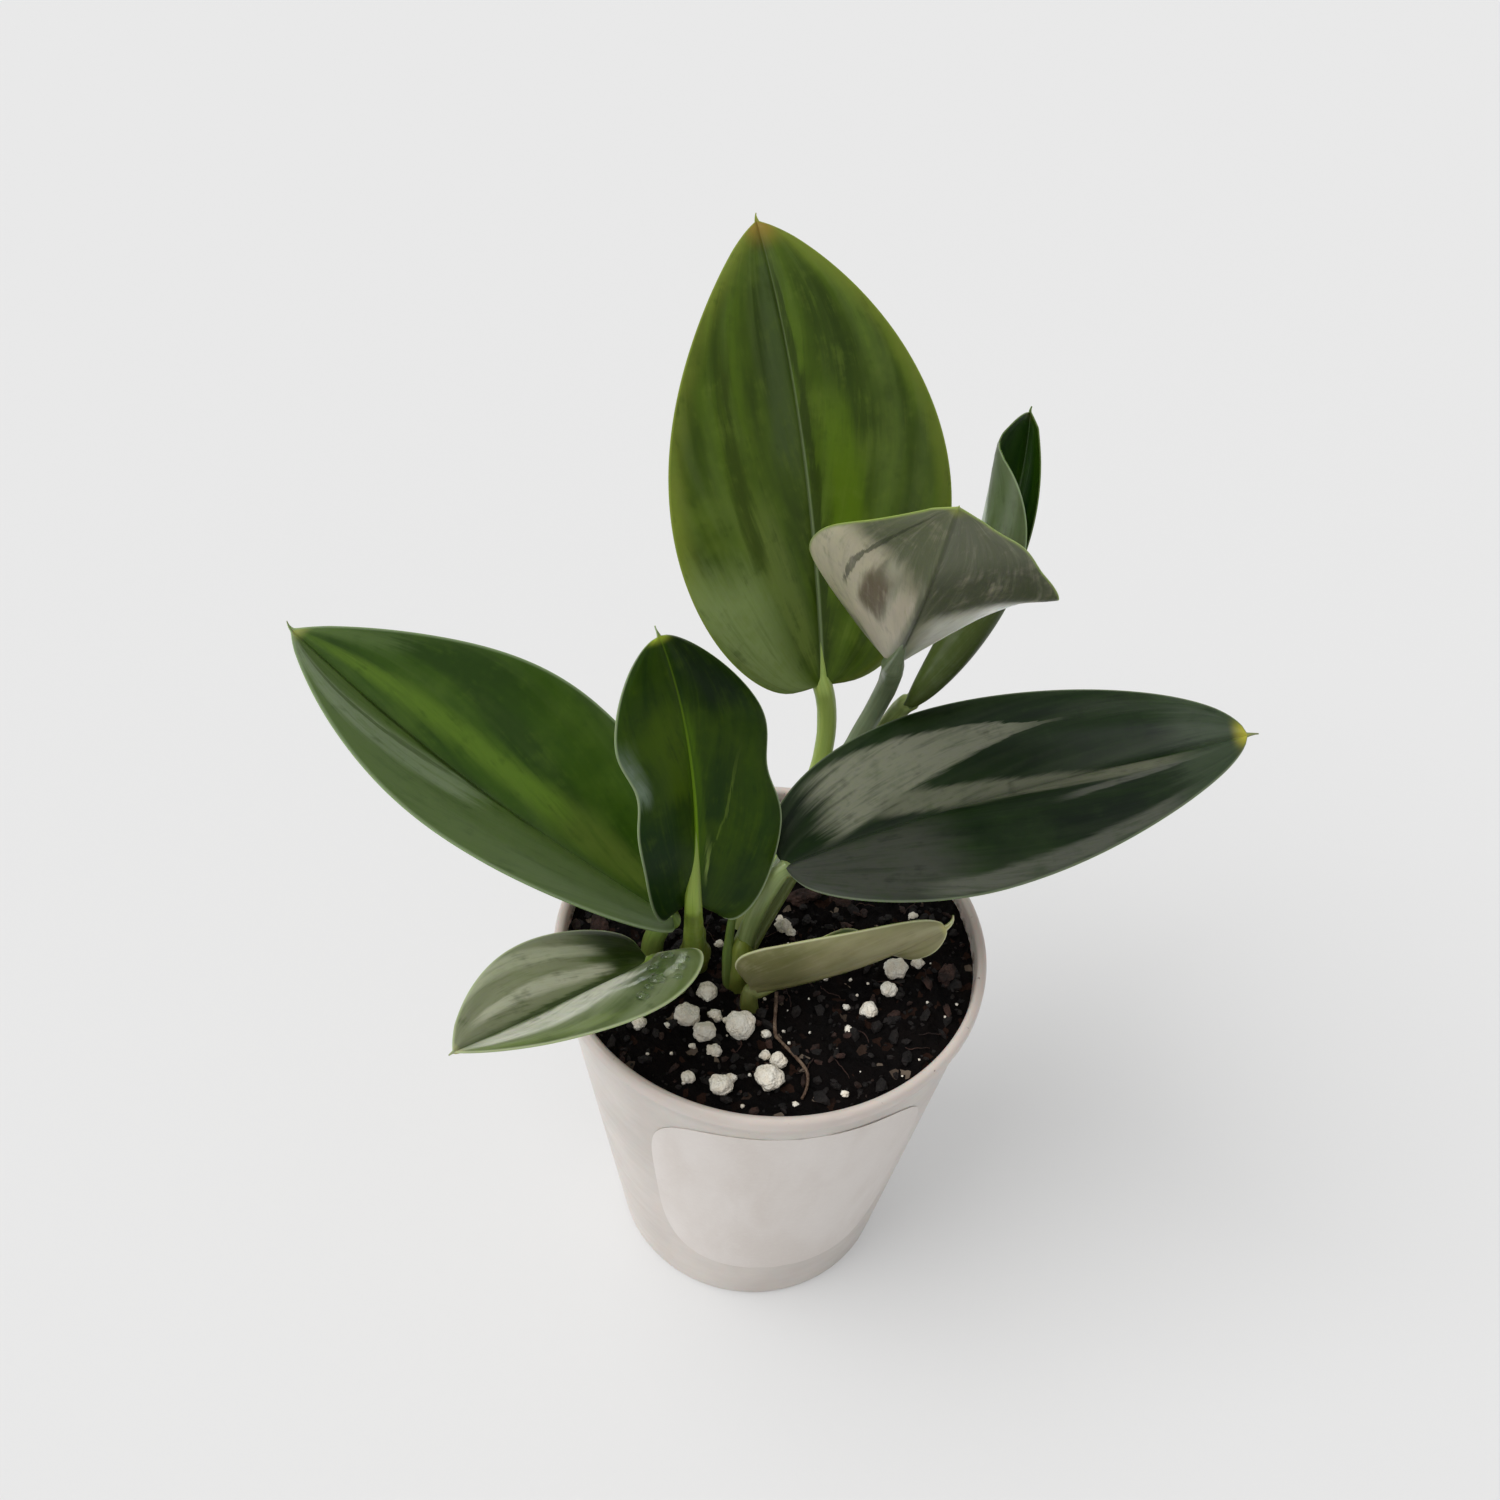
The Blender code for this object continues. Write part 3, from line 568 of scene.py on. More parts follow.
            ((0.24, 0.29, 0.1), 0, 1.3, -0.3, 0.46, 0.25, 0.9),
            ((0.3, 0.36, 0.23), -0.6, 0.5, 0.5, 1.1, 0.5, 0.8),
            ((0.65, 0.69, 0.63), -0.3, 0.12, 0.5, 0.76, 0.6, 0.9, -0.3),
        ),
    },
    "lower_left_leaf": {
        "base": (-15.0, -14.7, 72.2), "heading": 231, "rise": 17.5, "bend": -3.5, "swing": 0, "tilt": 16.5,
        "twist": -8.5, "length": 31.7, "left": 14.4, "right": 10.5, "fold": (22, 17),
        "foldChange": (-5, -2), "cup": 1, "arch": 12, "widest": 0.4, "taper": 0.8, "lobes": (4.2, 3.4),
        "waist": 0, "hook": (0.7, -10, 10), "seed": 1.5, "ripple": 0.12, "wave": 0.4, "gloss": 0.25,
        "pulls": ((0.0, 0.16, -1, 1.0, (-0.1, 1.1, 0.3)),),
        "lobeShape": (0.9, 0.035),
        "top": (
            ((0.29, 0.35, 0.16), (0.18, 0.24, 0.054), (0.43, 0.48, 0.33), (0.33, 0.39, 0.19),
             (0.22, 0.28, 0.13), (0.58, 0.61, 0.5), (0.64, 0.64, 0.46), (0.65, 0.68, 0.54)),
            (3.4, 0.35, 0.5, 0.6, 0.5, 61.0, 0.5),
            ((0.53, 0.57, 0.43), -0.3, 0.34, 0.34, 1.1, 0.8, 0.55, -0.2),
            ((0.43, 0.5, 0.25), -0.8, 0.16, 0.55, 0.95, 0.8, 0.5),
            # silver strip beside the midrib: painted sheen
            ((0.72, 0.73, 0.66), -0.17, 0.18, 0.2, 0.95, 0.4, 1.0, -0.25, -0.8),
            ((0.48, 0.5, 0.39), 0.5, 0.55, 0.26, 1.1, 0.4, 0.9),
            ((0.095, 0.16, 0.008), 0.58, 0.62, -0.2, 0.2, 0.4, 1.0),
            # the two silver bands on the upper half: painted sheen
            ((0.65, 0.66, 0.57), 0.1, 0.13, 0.2, 0.85, 0.6, 0.9, 0.4),
            ((0.61, 0.63, 0.53), 0.38, 0.17, 0.2, 0.85, 0.6, 0.85, 0.8),
            ((0.18, 0.24, 0.078), 0.03, 0.05, 0.08, 0.7, 0.6, 0.9),
            # the three narrow whitish bands: painted glints of the wet film
            ((0.76, 0.8, 0.73), -0.52, 0.05, 0.15, 0.2, 0.2, 1.0, 0.6),
            ((0.84, 0.86, 0.81), -0.7, 0.04, 0.28, 0.37, 0.2, 1.0, 0.5),
            ((0.73, 0.76, 0.68), -0.8, 0.05, 0.1, 0.22, 0.2, 0.9, 0.4),
            ((0.16, 0.24, 0.054), -0.6, 0.2, 0.1, 0.36, 0.5, 0.6, 0.3),
        ),
    },
    "lower_right_leaf": {
        "base": (-1.7, -10.8, 63.6), "heading": 3.5, "rise": 17, "bend": -9, "swing": 20, "tilt": -4,
        "twist": -1, "length": 26.8, "left": 5.6, "right": 9.4, "fold": (56, 60), "foldChange": (1, 2),
        "cup": 38, "arch": 0, "widest": 0.18, "taper": 0.42, "lobes": (1.5, 1.9), "waist": 0,
        "hook": (2.4, 80, 20), "seed": 4.8, "ripple": 0.02, "wave": 0.15, "gloss": 0.2,
        "furl": {"at": (0.0, 0.4, 0.55, 0.68, 0.85, 1.0), "curl": (38, 38, 34, 20, 10, 10),
                 "fold": (56, 56, 20, -50, -90, -90)},
        "pulls": ((0.8, 0.12, -1, 1.0, (0.0, -0.3, -0.6)), (0.93, 0.07, -1, 1.0, (0.3, 0.0, -0.5)),
                  (0.02, 0.08, 1, 1.0, (-0.5, 0.0, 1.3))),
        "top": (
            ((0.24, 0.34, 0.067), (0.14, 0.23, 0.008), (0.33, 0.42, 0.18), (0.4, 0.46, 0.18),
             (0.35, 0.43, 0.2), (0.37, 0.42, 0.29), (0.62, 0.58, 0.3), (0.69, 0.69, 0.5)),
            (2.6, 0.3, 0.4, 0.5, 0.4, 71.0),
        ),
        "under": (
            ((0.57, 0.55, 0.4), (0.46, 0.45, 0.29), (0.64, 0.62, 0.48), (0.57, 0.57, 0.4),
             (0.32, 0.32, 0.18), (0.65, 0.64, 0.5), (0.7, 0.68, 0.42), (0.81, 0.81, 0.66)),
            (2.4, 0.3, 0.35, 0.9, 0.5, 12.0),
            ((0.4, 0.4, 0.24), 0, 1.3, -0.3, 0.3, 0.2, 0.8),
            ((0.67, 0.65, 0.51), 0.3, 0.5, 0.55, 1.1, 0.6, 0.6),
        ),
    },
}
plainTones = (
    (0.616, 0.605, 0.495), (0.484, 0.495, 0.396), (0.726, 0.704, 0.616), (0.594, 0.616, 0.33),
    (0.44, 0.462, 0.33), (0.792, 0.77, 0.704), (0.66, 0.638, 0.264), (0.682, 0.726, 0.462),
)
plainAmounts = (2.6, 0.3, 0.4, 0.8, 0.5)
for i, (name, leaf) in enumerate(blades.items()):
    under = leaf.get("under", (plainTones, (*plainAmounts, 80.0 + i)))
    skins = [leafMaterial(name + "Top", leaf["top"], leaf["gloss"]),
             leafMaterial(name + "Under", under, leaf["gloss"])]
    seat(buildBlade(name + "Blade", leaf, skins), name, name)
print("blades built")


stalkColours = ("Skin", "Streak", "Foot")


def buildStalkFinish():
    t, g, result = newGroup("stalkFinish", stalkColours, {"Seed": 0.0}, ["Color", "Roughness", "Height"])
    along, around = mapAxes(t, "stalkMap")
    lines = noiseAt(t, vectorOf(t, times(t, along, 0.08), times(t, around, 9.0), g["Seed"]), 1.0, 3.0, 0.6)
    blotch = noiseAt(t, bodyPlace(t), 350.0, 3.0, 0.6)
    colour = mixColour(t, step(t, lines, 0.3, 0.7, 0.35, 1.0), g["Streak"], g["Skin"])
    colour = mixColour(t, step(t, along, 0.0, 9.0, 0.7, 0.0), colour, g["Foot"])
    colour = mixColour(t, step(t, blotch, 0.55, 0.8, 0.0, 0.25), colour, g["Streak"])
    giveOut(t, result, {"Color": colour, "Roughness": step(t, blotch, 0.3, 0.7, 0.36, 0.5),
                        "Height": plus(t, times(t, lines, 0.7), times(t, blotch, 0.3))})
    return t


stalkFinish = buildStalkFinish()


def stalkMaterial(name, tones, seed):
    material, tree, shader = newMaterial(name, {"Specular IOR Level": 0.45, "Coat Weight": 0.1,
                                                "Subsurface Weight": 0.12, "Subsurface Scale": 0.001})
    colours = {key: tint(*tone) for key, tone in zip(stalkColours, tones)}
    finish = put(tree, "Group", {**colours, "Seed": seed}, node_tree=stalkFinish).outputs
    wireSkin(tree, shader, finish["Color"], finish["Roughness"], finish["Height"], 0.2, 0.0002)
    return material


def sweep(path, radii, sides=18, groove=0.0, rough=0.0, seed=0.0, face=None):
    # closed tube along points in mm, with an optional channel on the side that faces "face"
    count = len(path)
    points, values, faces = [], [], []
    face = face or Vector((0, -1, 0.4))
    travelled = 0.0
    for i in range(count):
        before, after = path[max(i - 1, 0)], path[min(i + 1, count - 1)]
        forward = (after - before).normalized()
        front = (face - forward * face.dot(forward)).normalized()
        sideways = forward.cross(front)
        travelled += (path[i] - path[max(i - 1, 0)]).length
        for k in range(sides):
            turn = 2 * math.pi * k / sides
            bumps = noise.noise(Vector((travelled * 0.35, math.cos(turn), math.sin(turn) + seed)))
            channel = groove * math.exp(-(math.sin(turn / 2) * 2.4) ** 2)
            radius = radii[i] * (1 - channel) * (1 + rough * bumps)
            spot = path[i] + front * (radius * math.cos(turn)) + sideways * (radius * math.sin(turn))
            points.append(spot * mm)
            values.append((travelled, abs(k / sides - 0.5) * 2))
    for i in range(count - 1):
        for k in range(sides):
            a, b = i * sides + k, i * sides + (k + 1) % sides
            faces.append((a, b, b + sides, a + sides))
    faces.append(tuple(reversed(range(sides))))
    faces.append(tuple(range((count - 1) * sides, count * sides)))
    return points, faces, values


def curveThrough(a, b, c, d, count=30):
    a, b, c, d = Vector(a), Vector(b), Vector(c), Vector(d)
    found = []
    for i in range(count + 1):
        t = i / count
        found.append(a * (1 - t) ** 3 + b * (3 * t * (1 - t) ** 2) + c * (3 * t * t * (1 - t)) + d * t ** 3)
    return found


def buildTube(name, path, radii, material, *shape, **more):
    points, faces, values = sweep(path, radii, *shape, **more)
    piece = newPiece(name, points, faces, [material])
    addMap(piece, "stalkMap", values)
    return piece


stalkTop = {"stations": 10, "reach": 0.14, "sink": 0.6, "rise": 0.03, "narrow": 0.085, "face": (0, -1, 0.5)}


def buildStalk(name, stalk, leaf, material):
    # the stalk's curve, and then a narrowing end that runs on under the midrib
    path = curveThrough(*stalk["curve"])
    bare, stations = len(path) - 1, stalkTop["stations"]
    s = np.linspace(0.0, stalk.get("under", stalkTop["reach"]), stations + 1)
    place, _, _, above = midrib(leaf, s)
    sink = stalk.get("sink", stalkTop["sink"])
    for i in range(1, stations + 1):
        path.append(Vector(place[i]) - Vector(above[i]) * (sink - stalkTop["rise"] * i))
    low, high = stalk["radius"]
    radii = [low + (high - low) * min(1.0, i / bare) for i in range(len(path))]
    for i in range(bare + 1, len(path)):
        radii[i] *= 1 - stalkTop["narrow"] * (i - bare)
    return buildTube(name, path, radii, material, groove=0.22, rough=0.06, seed=leaf["seed"],
                     face=Vector(stalkTop["face"]))


# curve: four points in mm. radius: at its foot and at the blade. under, sink: how far the end runs on along
# the midrib and how deep it starts below it. tones: skin and streaks
stalkFoot = (0.36, 0.39, 0.15)
stalks = {
    "back_petiole": {
        "curve": ((-4.6, 2.6, 59.4), (0.2, 10.0, 67.4), (8.0, 20.6, 77.4), (3.9, 20.1, 90.9)),
        "radius": (1.15, 1.4), "tones": ((0.6, 0.68, 0.34), (0.49, 0.57, 0.25))},
    "left_petiole": {
        "curve": ((-16.2, -3.2, 59.4), (-16.2, -3.6, 64.0), (-14.9, -4.4, 68.0), (-13.0, -6.3, 71.0)),
        "radius": (1.6, 1.3), "sink": 1.5, "tones": ((0.525, 0.625, 0.3), (0.4, 0.5, 0.2))},
    "middle_petiole": {
        "curve": ((-10.2, -4.9, 62.0), (-10.2, -7.0, 71.0), (-10.0, -10.4, 75.0), (-9.9, -12.2, 80.3)),
        "radius": (1.5, 1.15), "under": 0.34, "sink": 0.5, "tones": ((0.52, 0.6, 0.24), (0.4, 0.49, 0.16))},
    "right_petiole": {
        "curve": ((-3.7, -7.0, 62.0), (-3.4, -7.0, 72.0), (-1.6, -6.4, 77.5), (0.7, -5.3, 81.5)),
        "radius": (1.35, 1.2), "sink": 1.25, "tones": ((0.5, 0.56, 0.34), (0.39, 0.45, 0.24))},
    "folded_petiole": {
        "curve": ((-5.2, -4.1, 59.4), (-1.4, 3.2, 71.8), (14.8, 29.4, 83.6), (11.9, 8.9, 104.7)),
        "radius": (1.1, 1.45), "under": 0.3, "tones": ((0.44, 0.49, 0.37), (0.34, 0.39, 0.28))},
    "rolled_petiole": {
        "curve": ((-3.2, -1.2, 59.4), (1.6, 6.2, 67.6), (13.0, 22.8, 84.0), (15.2, 16.9, 92.0)),
        "radius": (1.1, 1.3), "under": 0.2, "tones": ((0.562, 0.625, 0.375), (0.413, 0.463, 0.2))},
    "lower_left_petiole": {
        "curve": ((-12.0, -8.6, 59.4), (-12.4, -9.6, 66.0), (-13.2, -12.4, 70.0), (-14.8, -14.5, 72.0)),
        "radius": (1.3, 1.0), "tones": ((0.5, 0.587, 0.275), (0.375, 0.463, 0.188))},
    "lower_right_petiole": {
        "curve": ((-2.0, -10.9, 59.0), (-2.3, -10.9, 61.0), (-2.3, -10.9, 62.4), (-1.8, -10.8, 63.6)),
        "radius": (1.3, 1.1), "tones": ((0.45, 0.475, 0.25), (0.338, 0.362, 0.175))},
}
for i, (name, stalk) in enumerate(stalks.items()):
    material = stalkMaterial(name + "Skin", (*stalk["tones"], stalkFoot), i * 3.0)
    leaf = blades[name.replace("petiole", "leaf")]
    seat(buildStalk(name + "Stalk", stalk, leaf, material), "petiole", name)

crowns = {
    "left_stem": {
        "path": ((-10.2, -4.2, 59.0), (-10.2, -4.4, 62.0), (-10.2, -4.8, 65.0), (-10.2, -5.4, 68.5)),
        "radii": (1.9, 1.5), "bulge": 0.5},
    "right_stem": {
        "path": ((-3.7, -7.0, 58.8), (-3.8, -7.1, 62.0), (-3.7, -7.2, 66.0), (-3.5, -7.1, 69.6)),
        "radii": (1.7, 1.45), "bulge": 0.15},
}
crownTones = ((0.47, 0.52, 0.2), (0.35, 0.4, 0.13), (0.34, 0.36, 0.14))
crownSteps = 26
for i, (name, crown) in enumerate(crowns.items()):
    radii = []
    for k in range(crownSteps + 1):
        t = k / crownSteps
        radius = crown["radii"][0] + (crown["radii"][1] - crown["radii"][0]) * t
        radius += crown["bulge"] * math.exp(-((t - 0.35) / 0.14) ** 2)
        radii.append(radius * (1 - 0.35 * max(0.0, (t - 0.85) / 0.15) ** 2))
    material = stalkMaterial(name + "Skin", crownTones, 40.0 + i)
    path = curveThrough(*crown["path"], count=crownSteps)
    piece = buildTube(name + "Crown", path, radii, material, 22, groove=0.1, rough=0.14, seed=4.0 + i)
    seat(piece, "stem", name)

# a leaf sheath that stands against the right crown
sheath = {
    "path": ((-5.0, -7.4, 59.4), (-5.7, -7.6, 64.0), (-5.6, -7.5, 69.0), (-5.2, -7.2, 73.5)), "steps": 20,
    "radius": 0.95, "narrow": 0.022, "tones": ((0.40, 0.49, 0.22), (0.29, 0.37, 0.14), (0.33, 0.38, 0.15)),
}
radii = [sheath["radius"] - sheath["narrow"] * k for k in range(sheath["steps"] + 1)]
path = curveThrough(*sheath["path"], count=sheath["steps"])
material = stalkMaterial("stemSheathSkin", sheath["tones"], 52.0)
seat(buildTube("stemSheath", path, radii, material, 14, groove=0.2, rough=0.1, seed=7.0), "stem")
print("stalks built")


pot = {
    "height": 62.0, "rim": 30.0, "rimInner": 28.6, "lip": 2.4, "wallTop": 29.3, "base": 21.0, "wall": 0.8,
    "floor": 1.2, "steps": 160, "soil": 59.4,
}


def wallRadius(height):
    return pot["base"] + (pot["wallTop"] - pot["base"]) * height / (pot["height"] - pot["lip"])


def lathe(name, profile, material, steps):
    points, faces = [], []
    rows = len(profile)
    for k in range(steps):
        turn = 2 * math.pi * k / steps
        points += [(radius * math.cos(turn) * mm, radius * math.sin(turn) * mm, height * mm)
                   for radius, height in profile]
    for k in range(steps):
        a, b = k * rows, (k + 1) % steps * rows
        for i in range(rows - 1):
            faces.append((a + i, a + i + 1, b + i + 1, b + i))
    piece = newPiece(name, points, faces, [material], smooth=45)
    welded = bmesh.new()
    welded.from_mesh(piece.data)
    bmesh.ops.remove_doubles(welded, verts=welded.verts, dist=1e-7)
    bmesh.ops.recalc_face_normals(welded, faces=welded.faces)
    welded.to_mesh(piece.data)
    welded.free()
    return piece


def potProfile():
    # from the middle of the floor up the inside, over the lip and down to the middle of the base
    top, floor, rim, base = pot["height"], pot["floor"], pot["rim"], pot["base"]
    lip, low = top - pot["lip"], wallRadius(floor) - pot["wall"]
    profile = [(0.0, floor), (low - 0.8, floor), (low, floor + 0.8)]
    for i in range(1, 13):
        radius = low + (pot["rimInner"] - 0.1 - low) * i / 12.4
        profile.append((radius, floor + 0.8 + (top - 1.8 - floor) * i / 13))
    middle, half = (pot["rimInner"] + rim) / 2, (rim - pot["rimInner"]) / 2
    for i in range(9):
        turn = math.pi * (1 - i / 8)
        profile.append((middle + half * math.cos(turn), top - 0.75 + 0.75 * math.sin(turn)))
    profile += [(rim, lip + 0.55), (rim - 0.08, lip + 0.22), (rim - 0.3, lip + 0.04),
                (pot["wallTop"] + 0.12, lip), (pot["wallTop"] - 0.02, lip - 0.15)]
    for i in range(1, 16):
        height = lip - 0.15 - (lip - 1.6) * i / 15
        profile.append((wallRadius(height), height))
    return profile + [(wallRadius(0.5), 0.55), (base - 0.12, 0.18), (base - 0.45, 0.02), (base - 0.9, 0.0),
                      (base - 1.6, 0.0), (base - 1.9, 0.12), (base - 8, 0.12), (base - 8.2, 0.0), (0.0, 0.0)]


def buildPotMaterial():
    material, tree, shader = newMaterial("cupPlastic", {
        "Subsurface Weight": 0.25, "Subsurface Scale": 0.002, "Specular IOR Level": 0.5, "Coat Weight": 0.05})
    body = bodyPlace(tree)
    x, y, height = put(tree, "SeparateXYZ", {0: body}).outputs
    cloud = noiseAt(tree, body, 45.0, 4.0, 0.6)
    grain = noiseAt(tree, body, 900.0, 3.0, 0.5)
    scuff = noiseAt(tree, stretched(tree, body, (1.0, 1.0, 6.0)), 130.0, 5.0, 0.65)
    colour = mixColour(tree, step(tree, cloud, 0.35, 0.7), tint(0.83, 0.795, 0.765), tint(0.77, 0.735, 0.705))
    colour = mixColour(tree, step(tree, scuff, 0.62, 0.8, 0.0, 0.35), colour, tint(0.90, 0.88, 0.86))
    # soil stains on the inside, fading up toward the rim
    radial = put(tree, "VectorMath", {0: vectorOf(tree, x, y)}, operation="LENGTH").outputs["Value"]
    inside = times(tree, step(tree, radial, 0.0284, 0.0288, 1.0, 0.0),
                   step(tree, height, 0.0592, 0.0615, 1.0, 0.0))
    inside = times(tree, inside, step(tree, height, 0.0575, 0.058))
    specks = times(tree, inside, step(tree, noiseAt(tree, body, 620.0, 4.0, 0.7), 0.44, 0.62), True)
    colour = mixColour(tree, specks, colour, tint(0.22, 0.16, 0.13))
    dust = times(tree, step(tree, noiseAt(tree, body, 1100.0, 2.0, 0.5), 0.70, 0.76),
                 step(tree, height, 0.056, 0.0605, 0.0, 0.8))
    colour = mixColour(tree, dust, colour, tint(0.35, 0.28, 0.24))
    wireSkin(tree, shader, colour, step(tree, scuff, 0.3, 0.75, 0.3, 0.46),
             plus(tree, times(tree, grain, 0.3), cloud), 0.12, 0.0006)
    return material


seat(lathe("cup", potProfile(), buildPotMaterial(), pot["steps"]), "pot_plastic", "pot")


# a blank sticker on the front. power: roundness of its outline
sticker = {
    "heading": -78.0, "middle": 34.0, "halfWidth": 19.0, "halfHeight": 22.5, "power": 0.52, "gap": 0.03,
    "thickness": 0.14, "lift": 0.12, "rings": 14, "sides": 120,
}


def buildSticker():
    rings, sides, power = sticker["rings"], sticker["sides"], sticker["power"]
    points, faces = [], []
    for layer in (sticker["gap"], sticker["thickness"]):
        for ring in range(rings + 1):
            share = ring / rings
            for k in range(sides if ring else 1):
                turn = 2 * math.pi * k / sides
                c, s = math.cos(turn), math.sin(turn)
                across = math.copysign(abs(c) ** power, c) * sticker["halfWidth"] * share
                height = sticker["middle"] + math.copysign(abs(s) ** power, s) * sticker["halfHeight"] * share
                peel = sticker["lift"] * max(0.0, noise.noise(Vector((c * 2, s * 2, 3)))) * share ** 12
                radius = wallRadius(height) + layer + peel
                angle = math.radians(sticker["heading"]) + across / wallRadius(sticker["middle"])
                points.append(Vector((radius * math.cos(angle), radius * math.sin(angle), height)) * mm)
    count = 1 + rings * sides
    for k in range(sides):
        after = (k + 1) % sides
        faces.append((0, 1 + after, 1 + k))
        faces.append((count, count + 1 + k, count + 1 + after))
        for ring in range(rings - 1):
            a, b = 1 + ring * sides + k, 1 + ring * sides + after
            faces.append((a, b, b + sides, a + sides))
            faces.append((count + a, count + a + sides, count + b + sides, count + b))
        a, b = 1 + (rings - 1) * sides + k, 1 + (rings - 1) * sides + after
        faces.append((a, b, count + b, count + a))
    material, tree, shader = newMaterial("stickerPaper", {"Specular IOR Level": 0.4, "Coat Weight": 0.1})
    body = bodyPlace(tree)
    fibre = noiseAt(tree, body, 1400.0, 4.0, 0.6)
    crease = noiseAt(tree, stretched(tree, body, (1.0, 1.0, 0.35)), 120.0, 3.0, 0.5, 0.4)
    colour = mixColour(tree, step(tree, crease, 0.35, 0.7), tint(0.88, 0.85, 0.83), tint(0.85, 0.815, 0.79))
    colour = mixColour(tree, step(tree, fibre, 0.4, 0.8, 0.0, 0.2), colour, tint(0.92, 0.90, 0.87))
    wireSkin(tree, shader, colour, step(tree, crease, 0.3, 0.7, 0.42, 0.58),
             plus(tree, crease, times(tree, fibre, 0.25)), 0.25, 0.0008)
    return newPiece("sticker", points, faces, [material])


seat(buildSticker(), "label_paper", "label")
print("cup and sticker built")


def soilHeight(x, y):
    # height of the potting mix in mm at a place on it
    spot = Vector((x, y, 0.0))
    lumps = noise.fractal(spot * 0.16, 1.0, 2.0, 3) * 0.55
    crumbs = noise.fractal(spot * 0.75 + Vector((7, 3, 0)), 1.0, 2.0, 3) * 0.55
    grit = noise.noise(spot * 2.6) * 0.22
    reach = math.hypot(x, y) / 28.4
    return pot["soil"] + lumps + crumbs + grit - 0.1 - 0.5 * max(0.0, reach - 0.85)


def buildSoilMaterial():
    material, tree, shader = newMaterial("pottingMix", {"Specular IOR Level": 0.07})
    body = bodyPlace(tree)
    lump = noiseAt(tree, body, 260.0, 5.0, 0.7)
    bits = put(tree, "TexVoronoi", {"Vector": body, "Scale": 900.0})
    pick = put(tree, "SeparateXYZ", {0: bits.outputs["Color"]}).outputs[0]
    colour = mixColour(tree, step(tree, lump, 0.35, 0.7), tint(0.022, 0.016, 0.016), tint(0.06, 0.044, 0.041))
    colour = mixColour(tree, step(tree, pick, 0.90, 0.93, 0.0, 0.6), colour, tint(0.20, 0.13, 0.10))
    colour = mixColour(tree, step(tree, pick, 0.98, 0.99, 0.0, 0.7), colour, tint(0.48, 0.43, 0.38))
    wireSkin(tree, shader, colour, step(tree, lump, 0.3, 0.7, 0.7, 0.95),
             plus(tree, lump, times(tree, bits.outputs["Distance"], 0.5)), 0.8, 0.0008)
    return material


soilMaterial = buildSoilMaterial()


soilBody = {"rings": 74, "sides": 210, "bottom": 2.0, "fit": 0.05}


def buildSoil():
    rings, sides, low, fit = soilBody["rings"], soilBody["sides"], soilBody["bottom"], soilBody["fit"]
    top = wallRadius(pot["soil"]) - pot["wall"] + fit
    points = [Vector((0, 0, soilHeight(0, 0))) * mm]
    faces = []
    for ring in range(1, rings + 2):
        deep = ring > rings  # the last ring is the bottom edge
        radius = wallRadius(low) - pot["wall"] - fit if deep else top * (ring / rings) ** 0.85
        for k in range(sides):
            turn = 2 * math.pi * (k + 0.5 * (min(ring, rings) % 2)) / sides
            x, y = radius * math.cos(turn), radius * math.sin(turn)
            points.append(Vector((x, y, low if deep else soilHeight(x, y))) * mm)
    points.append(Vector((0, 0, low)) * mm)
    last = len(points) - 1
    for k in range(sides):
        after = (k + 1) % sides
        faces.append((0, 1 + k, 1 + after))
        for ring in range(rings):
            a, b = 1 + ring * sides + k, 1 + ring * sides + after
            faces.append((a, a + sides, b + sides, b))
        faces.append((1 + rings * sides + after, 1 + rings * sides + k, last))
    return newPiece("pottingSoil", points, faces, [soilMaterial], smooth=None)


seat(buildSoil(), "soil", "soil")


def layLump(builder, x, y, lift, size, seed, subdivisions=1, rough=0.35, turn=0.0, tone=0):
    # adds an irregular lump that lies on the soil to a bmesh, in mm
    made = bmesh.ops.create_icosphere(builder, subdivisions=subdivisions, radius=1.0)
    centre = Vector((x, y, soilHeight(x, y) + lift))
    spin = Matrix.Rotation(turn, 3, "Z") @ Matrix.Rotation(seed * 1.7 % 1.2 - 0.6, 3, "X")
    for vert in made["verts"]:
        push = 1 + rough * noise.noise(vert.co * 1.3 + Vector((seed, seed * 0.7, 0)))
        push += rough * 0.5 * noise.noise(vert.co * 3.1 + Vector((0, seed, seed)))
        flat = spin @ Vector((vert.co.x * size[0], vert.co.y * size[1], vert.co.z * size[2])) * push
        vert.co = (flat + centre) * mm
    for vert in made["verts"]:
        for face in vert.link_faces:
            face.material_index = tone


def somewhere(chance, reach):
    # a random place on the soil, up to reach from its middle
    away, turn = reach * math.sqrt(chance.random()), chance.uniform(0, 2 * math.pi)
    return away * math.cos(turn), away * math.sin(turn)


def grainMaterial(name, light, dark, scale, rough=0.85, pitted=0.45):
    light, dark = tint(*light), tint(*dark)
    material, tree, shader = newMaterial(name, {"Specular IOR Level": 0.3})
    body = bodyPlace(tree)
    patch = noiseAt(tree, body, scale, 5.0, 0.65)
    pores = put(tree, "TexVoronoi", {"Vector": body, "Scale": scale * 4.0}).outputs["Distance"]
    colour = mixColour(tree, step(tree, patch, 0.35, 0.68), dark, light)
    colour = mixColour(tree, step(tree, pores, 0.0, 0.25, pitted, 0.0), colour, dark)
    wireSkin(tree, shader, colour, step(tree, patch, 0.3, 0.7, rough, rough - 0.15), plus(tree, patch, pores),
             0.6, 0.0004)
    return material


